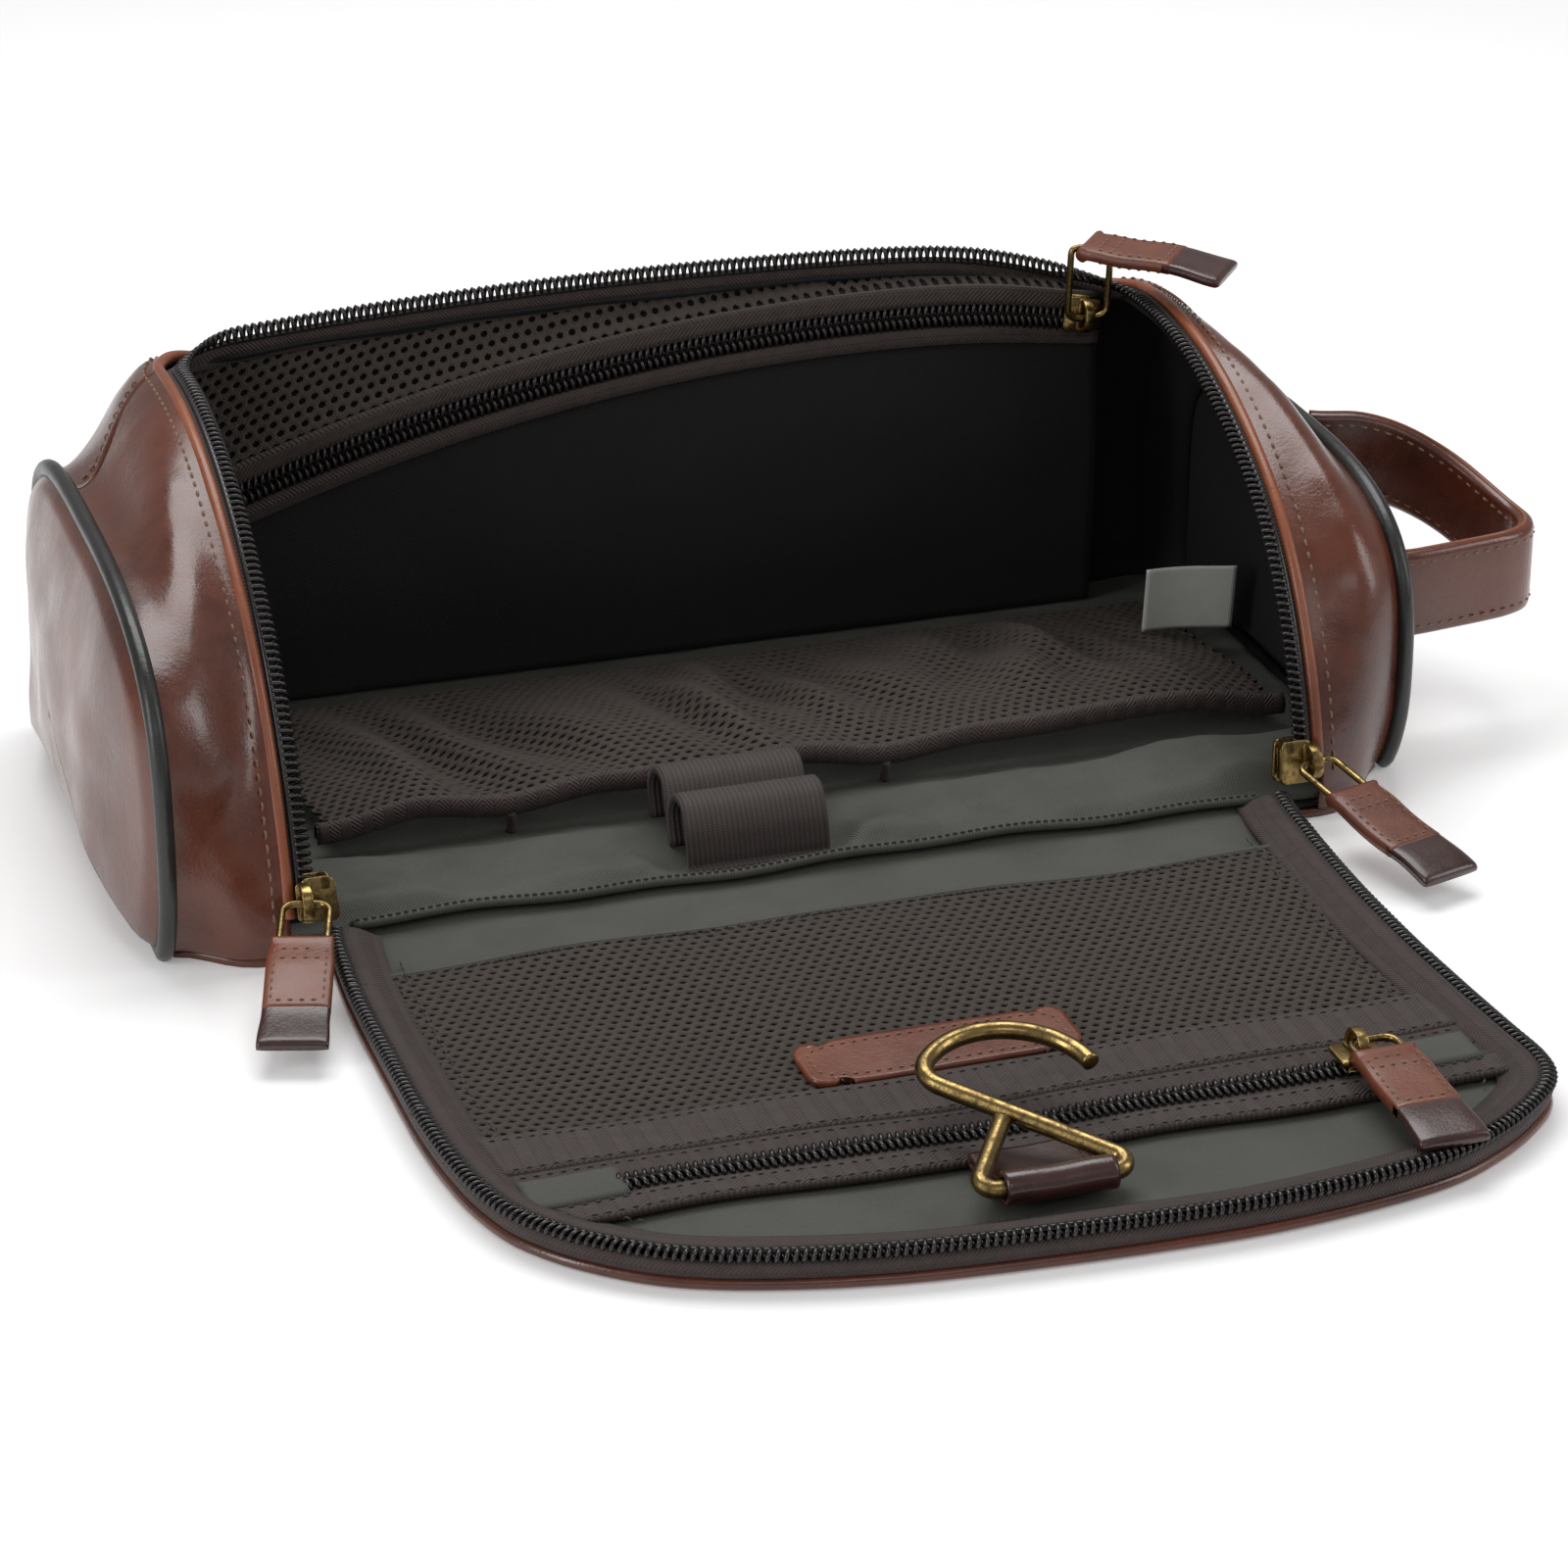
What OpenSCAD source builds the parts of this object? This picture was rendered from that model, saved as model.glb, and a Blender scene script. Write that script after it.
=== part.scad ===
// Hanging wash bag: a soft leather box whose curved front is a zip-around flap, shown lying open.
// X runs along the bag, Y from the open flap (-Y) to the back wall (+Y), Z is up.
// The origin is the middle of the base on the table.

/* [Bag body] */
// Distance between the two end seams
body_len = 272; // [262:1:290]
// Y of the back of the base
back_y = 67; // [64:1:72]
// Height of the end panels
end_h = 75; // [70:1:80]
// How far each end panel bulges beyond its seam
end_bulge = 7; // [4:1:9]
// Thickness of the leather
leather_t = 2; // [1.2:0.1:2.4]

/* [Curved opening] */
// Radius of the curve that the closed zip follows
rim_r = 100; // [98:1:103]
// Angle swept by that curve from the hinge to the top edge
rim_sweep = 94.5; // [92:0.5:96]
// Y of the flap hinge
hinge_y = -65; // [-67:1:-63]
// Height of the flap hinge
hinge_z = 7; // [6.5:0.5:8]
// Half the width of the opening, measured to where the two zip coils meet
split_x = 107.25; // [105:0.25:109]
// Rise of the top edge between its two corners
top_bow = 5; // [2:1:6]

/* [Flap] */
// Corner radius of the zip at the front of the flap
flap_corner_r = 45; // [38:1:48]
// Distance from the leather edge of the flap to the outside of its zip
flap_margin = 8; // [7:0.5:9]

/* [Zips] */
// Width of one side of the zip coil
coil_w = 3.4; // [3:0.1:3.6]
// Thickness of the zip coil
coil_t = 2.2; // [1.8:0.1:2.4]
// Radius that the sagging back pocket zip follows
back_zip_r = 450; // [430:1:480]
// X of the highest point of the back pocket zip
back_zip_x = 50; // [44:1:54]
// Height of the highest point of the back pocket zip
back_zip_top = 80.5; // [78:0.5:81]
// Y of the front face of the back pocket
pocket_y = 52; // [51.5:0.1:52.5]

/* [Hook] */
// Diameter of the hook wire
hook_wire = 3.6; // [3:0.1:3.8]
// Radius of the crook, to the middle of the wire
crook_r = 17.4; // [16:0.2:18]
// Tilt of the resting hook above the flap
hook_tilt = 10; // [8:1:14]

/* [Handle] */
// Width of the handle strap
strap_w = 20; // [16:1:22]
// Thickness of the handle strap
strap_t = 4; // [3:0.5:5]

/* [Hidden] */

leather = "#6e3723";
leather_dark = "#46231c";
piping_colour = "#2d2d2a";
twill = "#585a52";
mesh_brown = "#584b41";
webbing = "#554846";
tape_brown = "#503e3c";
coil_black = "#282020";
brass = "#8c733c";
label_white = "#e6e6e2";

gap = 0.3;                  // clearance between separate pieces
fine = 0.2;
rim_start = 171;            // angle of the hinge about the middle of the curve
rim_end = rim_start - rim_sweep;
rim_y = hinge_y - rim_r * cos(rim_start);
rim_z = hinge_z - rim_r * sin(rim_start);
segments = 3;               // the flap folds along two lines between three flat stretches
bend = rim_sweep / segments;
segment_len = 2 * rim_r * sin(bend / 2);
bend_1_y = hinge_y - segment_len;
bend_2_y = hinge_y - 2 * segment_len;
front_y = hinge_y - 3 * segment_len;

seam_x = body_len / 2;
band_x = 113.2;             // inner edge of the side bands
top_edge_y = rim_y + rim_r * cos(rim_end);
top_edge_z = rim_z + rim_r * sin(rim_end);
rim_share = 0.6;            // share of the body's section that the curved opening takes
band_share = 0.52;          // share of the section where the side band meets the back panel
section_mid = [3, 31];      // middle of the section in Y and Z
end_half_y = 67;
lining_t = 1.2;
floor_z = leather_t + gap;  // underside of the lining on the base

flap_leather_x = split_x - 0.25 - flap_margin;
flap_lining_z = leather_t + gap;
flap_lining_top = flap_lining_z + 1.9;
flap_skin_z = flap_lining_top + gap;   // pockets, tapes and webbing lie on the lining from here
flap_rim_z = hinge_z - coil_t / 2;
slider_room = 20;           // the flap's zip starts this far from the hinge, clear of the sliders
bend_room = 7;              // and stops this far either side of the second fold, where they park
tape_t = 0.8;

hook_x = -2.4;
hook_bar_y = -212;
hook_bar_z = 10;
flap_zip_y = -181.5;
flap_slider_x = 70;

// ---- shared functions ----

function lerp(a, b, u) = a + (b - a) * u;
function unit(v) = v / norm(v);
function ramp(u) = let (c = min(max(u, 0), 1)) c * c * (3 - 2 * c);
function signed_power(v, p) = sign(v) * pow(abs(v), p);
function rim_point(angle, r = rim_r) = [rim_y + r * cos(angle), rim_z + r * sin(angle)];
function bow(x) = top_bow * (1 - pow(min(abs(x) / split_x, 1), 2));
function bezier(a, b, c, d, u) =
    pow(1 - u, 3) * a + 3 * u * pow(1 - u, 2) * b + 3 * u * u * (1 - u) * c + pow(u, 3) * d;

// Section at the ends: a rounded box, from the front of the base (t = 0) over the top to the back (t = 1)
function end_point(t) =
    let (a = lerp(213.9, -28.8, t),
         n = cos(a) < 0 ? 2.8 : 3.5,
         half_z = end_h - section_mid[1])
    section_mid + [end_half_y * signed_power(cos(a), 2 / n), half_z * signed_power(sin(a), 2 / n)];

// Section in the middle: the curve of the opening, then the back wall down to the base
function middle_point(t, x) =
    t <= rim_share
    ? rim_point(lerp(rim_start, rim_end, t / rim_share), rim_r + 1)
    : bezier([top_edge_y + 4, top_edge_z + bow(x)], [70, 84], [71.5, 45], [back_y, floor_z],
             (t - rim_share) / (1 - rim_share));

// Point on the outside of the body, or sunk below it by depth
function skin_point(x, t, depth = 0) =
    let (u = ramp((abs(x) - band_x) / (seam_x - band_x)),
         p = lerp(middle_point(t, x), end_point(t), u),
         out = unit(p - section_mid),
         q = p + out * (2.5 * sin(180 * u) - depth))
    [x, q[0], max(q[1], floor_z)];

function grid(xs, first, last, rows, depth) =
    [for (j = [0:rows]) [for (x = xs)
        skin_point(x, lerp(first(abs(x)), last(abs(x)), j / rows), depth)]];

function rounded_corner(x, y, r, from) =
    [for (a = [from:7.5:from + 90]) [x + r * cos(a), y + r * sin(a)]];
function rounded_box(x0, x1, y0, y1, r) = concat(
    rounded_corner(x1 - r, y1 - r, r, 0), rounded_corner(x0 + r, y1 - r, r, 90),
    rounded_corner(x0 + r, y0 + r, r, 180), rounded_corner(x1 - r, y0 + r, r, 270));
// Outline of the flap's front stretch, with its two front corners rounded
function front_outline(half, y_front, y_back, r) = concat(
    [[half, y_back], [-half, y_back]],
    rounded_corner(-half + r, y_front + r, r, 180), rounded_corner(half - r, y_front + r, r, 270));

// ---- shared shapes ----

// Closed sheet between two grids of points
module thick_sheet(outer, inner) {
    rows = len(outer);
    cols = len(outer[0]);
    count = rows * cols;
    points = concat([for (row = outer) each row], [for (row = inner) each row]);
    function at(i, j, side) = side * count + i * cols + j;
    function quad(a, b, c, d) = [[a, b, c], [a, c, d]];
    faces = concat(
        [for (i = [0:rows - 2], j = [0:cols - 2]) each
            quad(at(i, j, 0), at(i, j + 1, 0), at(i + 1, j + 1, 0), at(i + 1, j, 0))],
        [for (i = [0:rows - 2], j = [0:cols - 2]) each
            quad(at(i, j, 1), at(i + 1, j, 1), at(i + 1, j + 1, 1), at(i, j + 1, 1))],
        [for (j = [0:cols - 2]) each quad(at(0, j, 0), at(0, j, 1), at(0, j + 1, 1), at(0, j + 1, 0))],
        [for (j = [0:cols - 2]) each
            quad(at(rows - 1, j, 0), at(rows - 1, j + 1, 0), at(rows - 1, j + 1, 1), at(rows - 1, j, 1))],
        [for (i = [0:rows - 2]) each quad(at(i, 0, 0), at(i + 1, 0, 0), at(i + 1, 0, 1), at(i, 0, 1))],
        [for (i = [0:rows - 2]) each quad(at(i, cols - 1, 0), at(i, cols - 1, 1),
            at(i + 1, cols - 1, 1), at(i + 1, cols - 1, 0))]);
    polyhedron(points, faces);
}

// Closed ring of round cord along a flat loop of [y, z] points at one x
module cord_ring(x, loop, r, sides = 8) {
    n = len(loop);
    points = [for (i = [0:n - 1]) let (
                  along = unit(loop[(i + 1) % n] - loop[(i + n - 1) % n]),
                  out = [along[1], -along[0]])
              for (k = [0:sides - 1]) let (a = 360 * k / sides, p = loop[i] + out * r * cos(a))
                  [x + r * sin(a), p[0], p[1]]];
    function at(i, k) = (i % n) * sides + k % sides;
    faces = [for (i = [0:n - 1], k = [0:sides - 1])
                each [[at(i, k), at(i + 1, k), at(i + 1, k + 1)],
                      [at(i, k), at(i + 1, k + 1), at(i, k + 1)]]];
    polyhedron(points, faces);
}

module copy_sides() {
    for (side = [-1, 1]) scale([side, 1, 1]) children();
}

// Stretch of the rim's curve between two angles, as wide as x0 to x1 and as thick as r0 to r1
module rim_arc(x0, x1, r0, r1, from, to) {
    translate([0, rim_y, rim_z]) rotate([90, 0, 90]) rotate([0, 0, to])
        rotate_extrude(angle = from - to, $fn = 96) translate([r0, x0]) square([r1 - r0, x1 - x0]);
}

// Flat plate standing across the bag, from its outline in X and Z
module standing_plate(y, thickness, outline) {
    translate([0, y + thickness, 0]) rotate([90, 0, 0]) linear_extrude(thickness) polygon(outline);
}

module flat_plate(z, thickness, outline) {
    translate([0, 0, z]) linear_extrude(thickness) polygon(outline);
}

module strip(x0, x1, y0, y1, z0, z1) {
    translate([x0, y0, z0]) cube([x1 - x0, y1 - y0, z1 - z0]);
}

// ---- leather body ----

module base_panel() {
    color(leather) flat_plate(0, leather_t, rounded_box(-seam_x + 2.5, seam_x - 2.5, hinge_y + gap, back_y, 14));
}

half_xs = [split_x, band_x, band_x + 0.6, 117, 121, 126, 131, seam_x - 0.6];
panel_xs = concat([for (i = [len(half_xs) - 1:-1:0]) -half_xs[i]], [for (x = [-90:15:90]) x], half_xs);
band_xs = [for (x = half_xs) if (x >= band_x) x];

module back_panel() {
    first = function (x) x <= band_x ? rim_share + 0.004 : band_share;
    last = function (x) 1;
    color(leather)
        thick_sheet(grid(panel_xs, first, last, 16, 0), grid(panel_xs, first, last, 16, leather_t));
}

module side_band() {
    first = function (x) 0;
    last = function (x) band_share - 0.004;
    color(leather)
        thick_sheet(grid(band_xs, first, last, 24, 0), grid(band_xs, first, last, 24, leather_t));
}

module side_band_left() {
    scale([-1, 1, 1]) side_band();
}

module side_band_right() {
    side_band();
}

// The two ends bulge in both directions inside their piped seam
module end_panel() {
    inset = 2.4;
    rows = 12;
    cols = 16;
    top = end_h - inset - 0.4;
    half_z = end_h - section_mid[1];
    function half_y(z, n) = (end_half_y - inset) *
        pow(1 - pow(min(abs(z - section_mid[1]) / (half_z - inset), 1), n), 1 / n);
    function face(x, bulge) = [for (i = [0:rows]) [for (j = [0:cols]) let (
        v = i / rows,
        u = j / cols,
        z = lerp(2 * piping_r + 0.6, top, 1 - pow(1 - v, 1.6)),
        y = section_mid[0] + lerp(-half_y(z, 2.8), half_y(z, 3.5), u),
        h = (z - section_mid[1]) / half_z)
        [x + bulge * (1 - pow(2 * u - 1, 2)) * (1 - pow(min(abs(h), 1), 3)), y, z]]];
    color(leather) thick_sheet(face(seam_x + 2.6, end_bulge), face(seam_x + 0.4, end_bulge));
}

module end_panel_left() {
    scale([-1, 1, 1]) end_panel();
}

module end_panel_right() {
    end_panel();
}

piping_r = 1.9;
piping_loop = [for (i = [0:60]) let (p = end_point(i / 60)) [p[0], max(p[1], piping_r + 0.1)]];

module piping_left() {
    color(piping_colour) cord_ring(-seam_x - 1.5, piping_loop, piping_r);
}

module piping_right() {
    color(piping_colour) cord_ring(seam_x + 1.5, piping_loop, piping_r);
}

module hinge_binding() {
    color(twill) strip(-98, 98, hinge_y + gap, hinge_y + 5, floor_z, hinge_z - 0.5);
}

// ---- lining ----

module lining_floor() {
    color(twill) flat_plate(floor_z, 2, rounded_box(-130, 130, hinge_y + 5.5, back_y - 6, 12));
}

module lining_back() {
    first = function (x) 0.64;
    last = function (x) 0.96;
    xs = [for (i = [-8:8]) i * 15.5];
    color(twill)
        thick_sheet(grid(xs, first, last, 12, leather_t + 1.6),
                    grid(xs, first, last, 12, leather_t + 1.6 + lining_t));
}

module lining_end() {
    outline = [for (i = [0:40]) let (
        t = lerp(0.03, 0.97, i / 40),
        p = end_point(t),
        q = p - 6 * unit(p - section_mid)) [q[0], max(q[1], floor_z + 2.4)]];
    color(twill) translate([seam_x - 4, 0, 0]) rotate([90, 0, 90]) linear_extrude(lining_t) polygon(outline);
}

module lining_left() {
    scale([-1, 1, 1]) lining_end();
}

module lining_right() {
    lining_end();
}

// ---- main zip on the body ----

module body_zip_coil() {
    inner_x = split_x + 0.25;
    bow_r = (pow(split_x, 2) + pow(top_bow, 2)) / (2 * top_bow);
    half_angle = asin(split_x / bow_r);
    color(coil_black) {
        copy_sides() rim_arc(inner_x, inner_x + coil_w, rim_r - coil_t / 2, rim_r + coil_t / 2,
                             rim_start, rim_end);
        translate([0, top_edge_y + gap + coil_t, top_edge_z + top_bow - bow_r]) rotate([90, 0, 0])
            rotate([0, 0, 90 - half_angle])
            rotate_extrude(angle = 2 * half_angle, $fn = 360) translate([bow_r, 0]) square([coil_w, coil_t]);
    }
}

module body_zip_tape() {
    inner_x = split_x + 0.25 + coil_w;
    bow_r = (pow(split_x, 2) + pow(top_bow, 2)) / (2 * top_bow);
    half_angle = asin(split_x / bow_r);
    color(tape_brown) {
        copy_sides() rim_arc(inner_x, band_x - 0.2, rim_r - tape_t / 2, rim_r + tape_t / 2,
                             rim_start, rim_end);
        translate([0, top_edge_y + gap + 1.6, top_edge_z + top_bow - bow_r]) rotate([90, 0, 0])
            rotate([0, 0, 90 - half_angle])
            rotate_extrude(angle = 2 * half_angle, $fn = 360)
                translate([bow_r - 4, 0]) square([3.9, tape_t]);
    }
}

// ---- pockets and loops inside ----

binding_y = -27;
binding_z = 13;
pocket_back_y = 44;

module floor_pocket_mesh() {
    rise = binding_z - 6;
    run = pocket_back_y - binding_y;
    color(mesh_brown) translate([0, binding_y + 1.6, binding_z]) rotate([-atan(rise / run), 0, 0])
        strip(-98, 120, 0, run - 2, -0.4, 0.6);
}

module floor_pocket_binding() {
    color(tape_brown) {
        strip(-98, 120, binding_y - 1.2, binding_y + 1.2, binding_z - 1.8, binding_z + 1.8);
        // two tacks divide the pocket into three
        for (x = [-57, 27]) strip(x - 1.5, x + 1.5, binding_y - 1.2, binding_y + 1.2, floor_z + 2.1, binding_z);
    }
}

loops_x0 = -27;
loops_x1 = 4;
loop_ys = [-51.2, -36.7];

module elastic_loops() {
    half = 7.1;
    wall = 1.6;
    bottom = floor_z + 2.2;
    top = 18.5;
    color(webbing) translate([loops_x0, 0, 0]) rotate([90, 0, 90]) linear_extrude(loops_x1 - loops_x0)
        difference() {
            union() {
                for (y = loop_ys) polygon(rounded_box(y - half, y + half, bottom, top, 6));
                translate([loop_ys[0] - half - 1.5, bottom]) square([31, wall]);
            }
            for (y = loop_ys)
                polygon(rounded_box(y - half + wall, y + half - wall, bottom + wall, top - wall, 4.4));
        }
}

// Height of a line parallel to the back pocket zip
function zip_line(x, off) =
    back_zip_top - back_zip_r + sqrt(pow(back_zip_r + off, 2) - pow(x - back_zip_x, 2));
pocket_half = 105.5;
pocket_steps = [for (i = [0:24]) lerp(-pocket_half, pocket_half, i / 24)];

module back_pocket_panel() {
    outline = concat([[pocket_half, floor_z + 2.2], [-pocket_half, floor_z + 2.2]],
                     [for (x = pocket_steps) [x, zip_line(x, -3.2)]]);
    color(tape_brown) standing_plate(pocket_y, tape_t, outline);
}

module back_pocket_webbing() {
    outline = concat([for (x = pocket_steps) [-x, zip_line(-x, 3.2)]],
                     [for (x = pocket_steps) [x, zip_line(x, 5.8)]]);
    color(webbing) standing_plate(pocket_y - 0.4, 1.2, outline);
}

module back_pocket_mesh() {
    outline = concat([for (x = pocket_steps) [-x, zip_line(-x, 6)]],
                     [[-pocket_half, top_edge_z - 2], [pocket_half, top_edge_z - 2]]);
    color(mesh_brown) standing_plate(pocket_y, tape_t, outline);
}

module back_pocket_coil() {
    reach = asin((pocket_half - back_zip_x) / back_zip_r);
    far = asin((pocket_half + back_zip_x) / back_zip_r);
    color(coil_black) translate([back_zip_x, pocket_y + 0.6, back_zip_top - back_zip_r])
        rotate([90, 0, 0]) rotate([0, 0, 90 - reach])
        rotate_extrude(angle = reach + far, $fn = 360)
            translate([back_zip_r - 2.7, 0]) square([5.4, coil_t]);
}

module care_label() {
    color(label_white) translate([106, 20, 9.8]) rotate([12, 0, -8]) cube([21, 0.6, 17]);
}

// ---- handle ----

// Middle line of the strap: out from the end panel, round a sharp bend and back
handle_path = [[148, -31], [158, -30], [168, -28.6], [174, -27.2], [178.5, -24.6], [181, -19.5],
               [181, -13], [178.6, -4], [174, 5], [167, 12], [158, 17], [149, 20]];
// The far leg climbs as it runs back
function handle_z(i) = 24.5 + 14 * ramp((i - 5) / 6);

module handle_strap() {
    n = len(handle_path);
    function along(i) = unit(handle_path[min(i + 1, n - 1)] - handle_path[max(i - 1, 0)]);
    function side(off) = [for (i = [0:n - 1]) let (
        d = along(i), p = handle_path[i] + off * [d[1], -d[0]])
        [for (k = [0:1]) [p[0], p[1], handle_z(i) + strap_w * k]]];
    color(leather) thick_sheet(side(strap_t / 2), side(-strap_t / 2));
}

// ---- sliders, rings and pulls ----

slider_w = 8.4;
slider_l = 9.4;
plate_t = 1.2;
channel = coil_t + 0.8;     // room for the coil between the plates
wire_r = 0.8;
eye_h = channel / 2 + plate_t + 2;   // height of the ring's wire above the middle of the coil

// Slider at the origin: coil along Z, outer face towards -Y, and a bridge for the ring on that face.
// The bridge runs along the coil, or across it when turned
module slider_body(with_inner, bridge_turn = 0, bridge_x = 0) {
    outer = -channel / 2 - plate_t;
    strip(-slider_w / 2, slider_w / 2, outer, outer + plate_t, -slider_l / 2, slider_l / 2);
    if (with_inner) {
        strip(-slider_w / 2, slider_w / 2, channel / 2, channel / 2 + plate_t, -slider_l / 2, slider_l / 2);
        strip(0.6, 2.6, outer, channel / 2 + plate_t, 2, slider_l / 2);
    } else {
        for (side = [-1, 1]) translate([side * (slider_w / 2 - 0.35), 0, 0])
            strip(-0.35, 0.35, outer, -channel / 2 + 1.3, -slider_l / 2, slider_l / 2);
    }
    translate([bridge_x, 0, 0]) rotate([0, bridge_turn, 0]) {
        for (z = [-2.8, 1.6]) strip(-1.1, 1.1, outer - 4, outer, z, z + 1.2);
        strip(-1.1, 1.1, outer - 4.6, outer - 3.4, -2.8, 2.8);
    }
}

// Wire ring hanging from the origin towards -Y, with its upper bar along X
module ring(length, width = 9.6) {
    color(brass) {
        for (y = [0, -length]) translate([-width / 2, y, 0]) rotate([0, 90, 0])
            cylinder(r = wire_r, h = width, $fn = 24);
        for (x = [-width / 2, width / 2]) {
            translate([x, 0, 0]) rotate([90, 0, 0]) cylinder(r = wire_r, h = length, $fn = 24);
            for (y = [0, -length]) translate([x, y, 0]) sphere(r = wire_r, $fn = 24);
        }
    }
}

tab_w = 13.6;
tab_t = 3.2;
tab_l = 34;

// Leather tab folded round the ring's lower bar, its free end turned sideways by turn
module tab(ring_length, turn = 0) {
    color(leather) difference() {
        union() {
            translate([0, -ring_length, 0]) rotate([0, 0, turn])
                translate([-tab_w / 2, 2 - tab_l, -tab_t / 2]) cube([tab_w, tab_l - 2, tab_t]);
            translate([-tab_w / 2, -ring_length, 0]) rotate([0, 90, 0]) cylinder(r = 2.2, h = tab_w, $fn = 32);
        }
        translate([-tab_w, -ring_length, 0]) rotate([0, 90, 0]) cylinder(r = 1.05, h = 2 * tab_w, $fn = 32);
        for (x = [-4.8, 4.8]) translate([x - 1.15, -ring_length - 1.15, -3]) cube([2.3, 5, 6]);
    }
}

ring_l = 13;

// Places for the two main sliders: just above the hinge, on the line where the coils meet
slider_angle = rim_start - 4;
bridge_out = 3;             // the bridge stands this far out from the middle of the slider
module at_main_slider(side) {
    p = rim_point(slider_angle);
    translate([side * split_x, p[0], p[1]]) rotate([slider_angle - 180, 0, 0]) children();
}

// The ring and its tab droop forwards and splay outwards, clear of the flap
main_droop = 12;
main_splay = 17;
module at_main_ring(side) {
    p = rim_point(slider_angle, rim_r + eye_h);
    translate([side * (split_x + bridge_out), p[0], p[1]])
        rotate([0, 0, side * main_splay]) rotate([main_droop, 0, 0]) children();
}

module left_zip_slider() {
    color(brass) at_main_slider(-1) slider_body(true, 0, -bridge_out);
}

module left_zip_ring() {
    at_main_ring(-1) ring(ring_l);
}

module left_zip_pull() {
    at_main_ring(-1) tab(ring_l);
}

module right_zip_slider() {
    color(brass) at_main_slider(1) scale([-1, 1, 1]) slider_body(true, 0, -bridge_out);
}

module right_zip_ring() {
    at_main_ring(1) ring(ring_l);
}

module right_zip_pull() {
    at_main_ring(1) tab(ring_l);
}

back_slider_x = 101;
back_slider_angle = asin((back_slider_x - back_zip_x) / back_zip_r);
back_coil_y = pocket_y + 0.6 - coil_t / 2;

module back_zip_slider() {
    color(brass) translate([back_slider_x, back_coil_y, zip_line(back_slider_x, 0)])
        rotate([0, back_slider_angle + 90, 0]) slider_body(false, 90);
}

// The back pocket's ring stands up, and its tab lies over the right shoulder of the opening
back_eye = [back_slider_x, back_coil_y - eye_h, zip_line(back_slider_x, 0)];
back_ring_l = 17.6;
back_ring_lean = 5;
module at_back_ring() {
    translate(back_eye) rotate([back_ring_lean - 90, 0, 0]) children();
}

module back_zip_ring() {
    at_back_ring() ring(back_ring_l);
}

module back_zip_pull() {
    at_back_ring() translate([0, -back_ring_l, 0]) rotate([90 - back_ring_lean + 2, 0, 0]) tab(0, 50);
}

flap_coil_z = 6.6;
module flap_zip_slider() {
    color(brass) translate([flap_slider_x, flap_zip_y, flap_coil_z])
        rotate([-90, 0, 0]) rotate([0, 90, 0]) slider_body(false, 90);
}

// The flap pocket's ring lies to one side of the bridge, and its tab points at the front edge
flap_ring_l = 6.6;
module at_flap_ring() {
    translate([flap_slider_x + 2.6, flap_zip_y, flap_coil_z + eye_h]) rotate([1.2, 0, 0]) children();
}

module flap_zip_ring() {
    at_flap_ring() ring(flap_ring_l);
}

module flap_zip_pull() {
    at_flap_ring() tab(flap_ring_l);
}

// ---- flap ----

// The lower and middle stretches are plain rectangles between two fold lines
module stretch(half, y0, y1, z, thickness) {
    strip(-half, half, y0, y1, z, z + thickness);
}

module side_tapes(y0, y1) {
    outer = split_x - 0.25 - coil_w;
    color(tape_brown) copy_sides() translate([0, y1, 0]) rotate([90, 0, 0]) linear_extrude(y1 - y0)
        polygon([[flap_leather_x, flap_skin_z], [outer, flap_rim_z + 0.4],
                 [outer, flap_rim_z + 0.4 + tape_t], [flap_leather_x, flap_skin_z + tape_t]]);
}

module side_coils(y0, y1) {
    outer = split_x - 0.25;
    color(coil_black) copy_sides() strip(outer - coil_w, outer, y0, y1, flap_rim_z, flap_rim_z + coil_t);
}

module flap_panel_lower() {
    color(leather) stretch(flap_leather_x, bend_1_y + fine, hinge_y - gap, 0, leather_t);
}

module flap_lining_lower() {
    color(twill) stretch(flap_leather_x, bend_1_y + fine, hinge_y - gap, flap_lining_z, 1.9);
}

module flap_mesh_lower() {
    color(mesh_brown) stretch(flap_leather_x - 0.4, bend_1_y + fine, -85, flap_skin_z, tape_t);
}

module flap_tape_lower() {
    side_tapes(bend_1_y + 0.5, hinge_y - slider_room);
}

module flap_coil_lower() {
    side_coils(bend_1_y + 0.5, hinge_y - slider_room);
}

module flap_panel_middle() {
    color(leather) stretch(flap_leather_x, bend_2_y + fine, bend_1_y - fine, 0, leather_t);
}

module flap_lining_middle() {
    color(twill) stretch(flap_leather_x, bend_2_y + fine, bend_1_y - fine, flap_lining_z, 1.9);
}

upper_webbing_y = -158;
module flap_mesh_middle() {
    color(mesh_brown) stretch(flap_leather_x - 0.4, upper_webbing_y + fine, bend_1_y - fine, flap_skin_z, tape_t);
}

module flap_tape_middle() {
    side_tapes(bend_2_y + bend_room, bend_1_y - 0.5);
}

module flap_coil_middle() {
    side_coils(bend_2_y + bend_room, bend_1_y - 0.5);
}

module flap_webbing_upper() {
    color(webbing) stretch(flap_leather_x - 0.4, bend_2_y + 0.5, upper_webbing_y, flap_skin_z, 1.5);
}

module leather_patch() {
    color(leather) flat_plate(flap_skin_z + tape_t + 0.1, 1.4, rounded_box(-32, 24, -157, -141, 4));
}

module front_plate(z, thickness, inset, y_back) {
    half = split_x - 0.25 - inset;
    flat_plate(z, thickness, front_outline(half, front_y + inset, y_back, flap_corner_r - inset));
}

module front_rim(z, thickness, inset, width) {
    y_back = bend_2_y - bend_room;
    difference() {
        front_plate(z, thickness, inset, y_back);
        translate([0, 0, -1]) front_plate(z, thickness + 2, inset + width, y_back + 1);
    }
}

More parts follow.
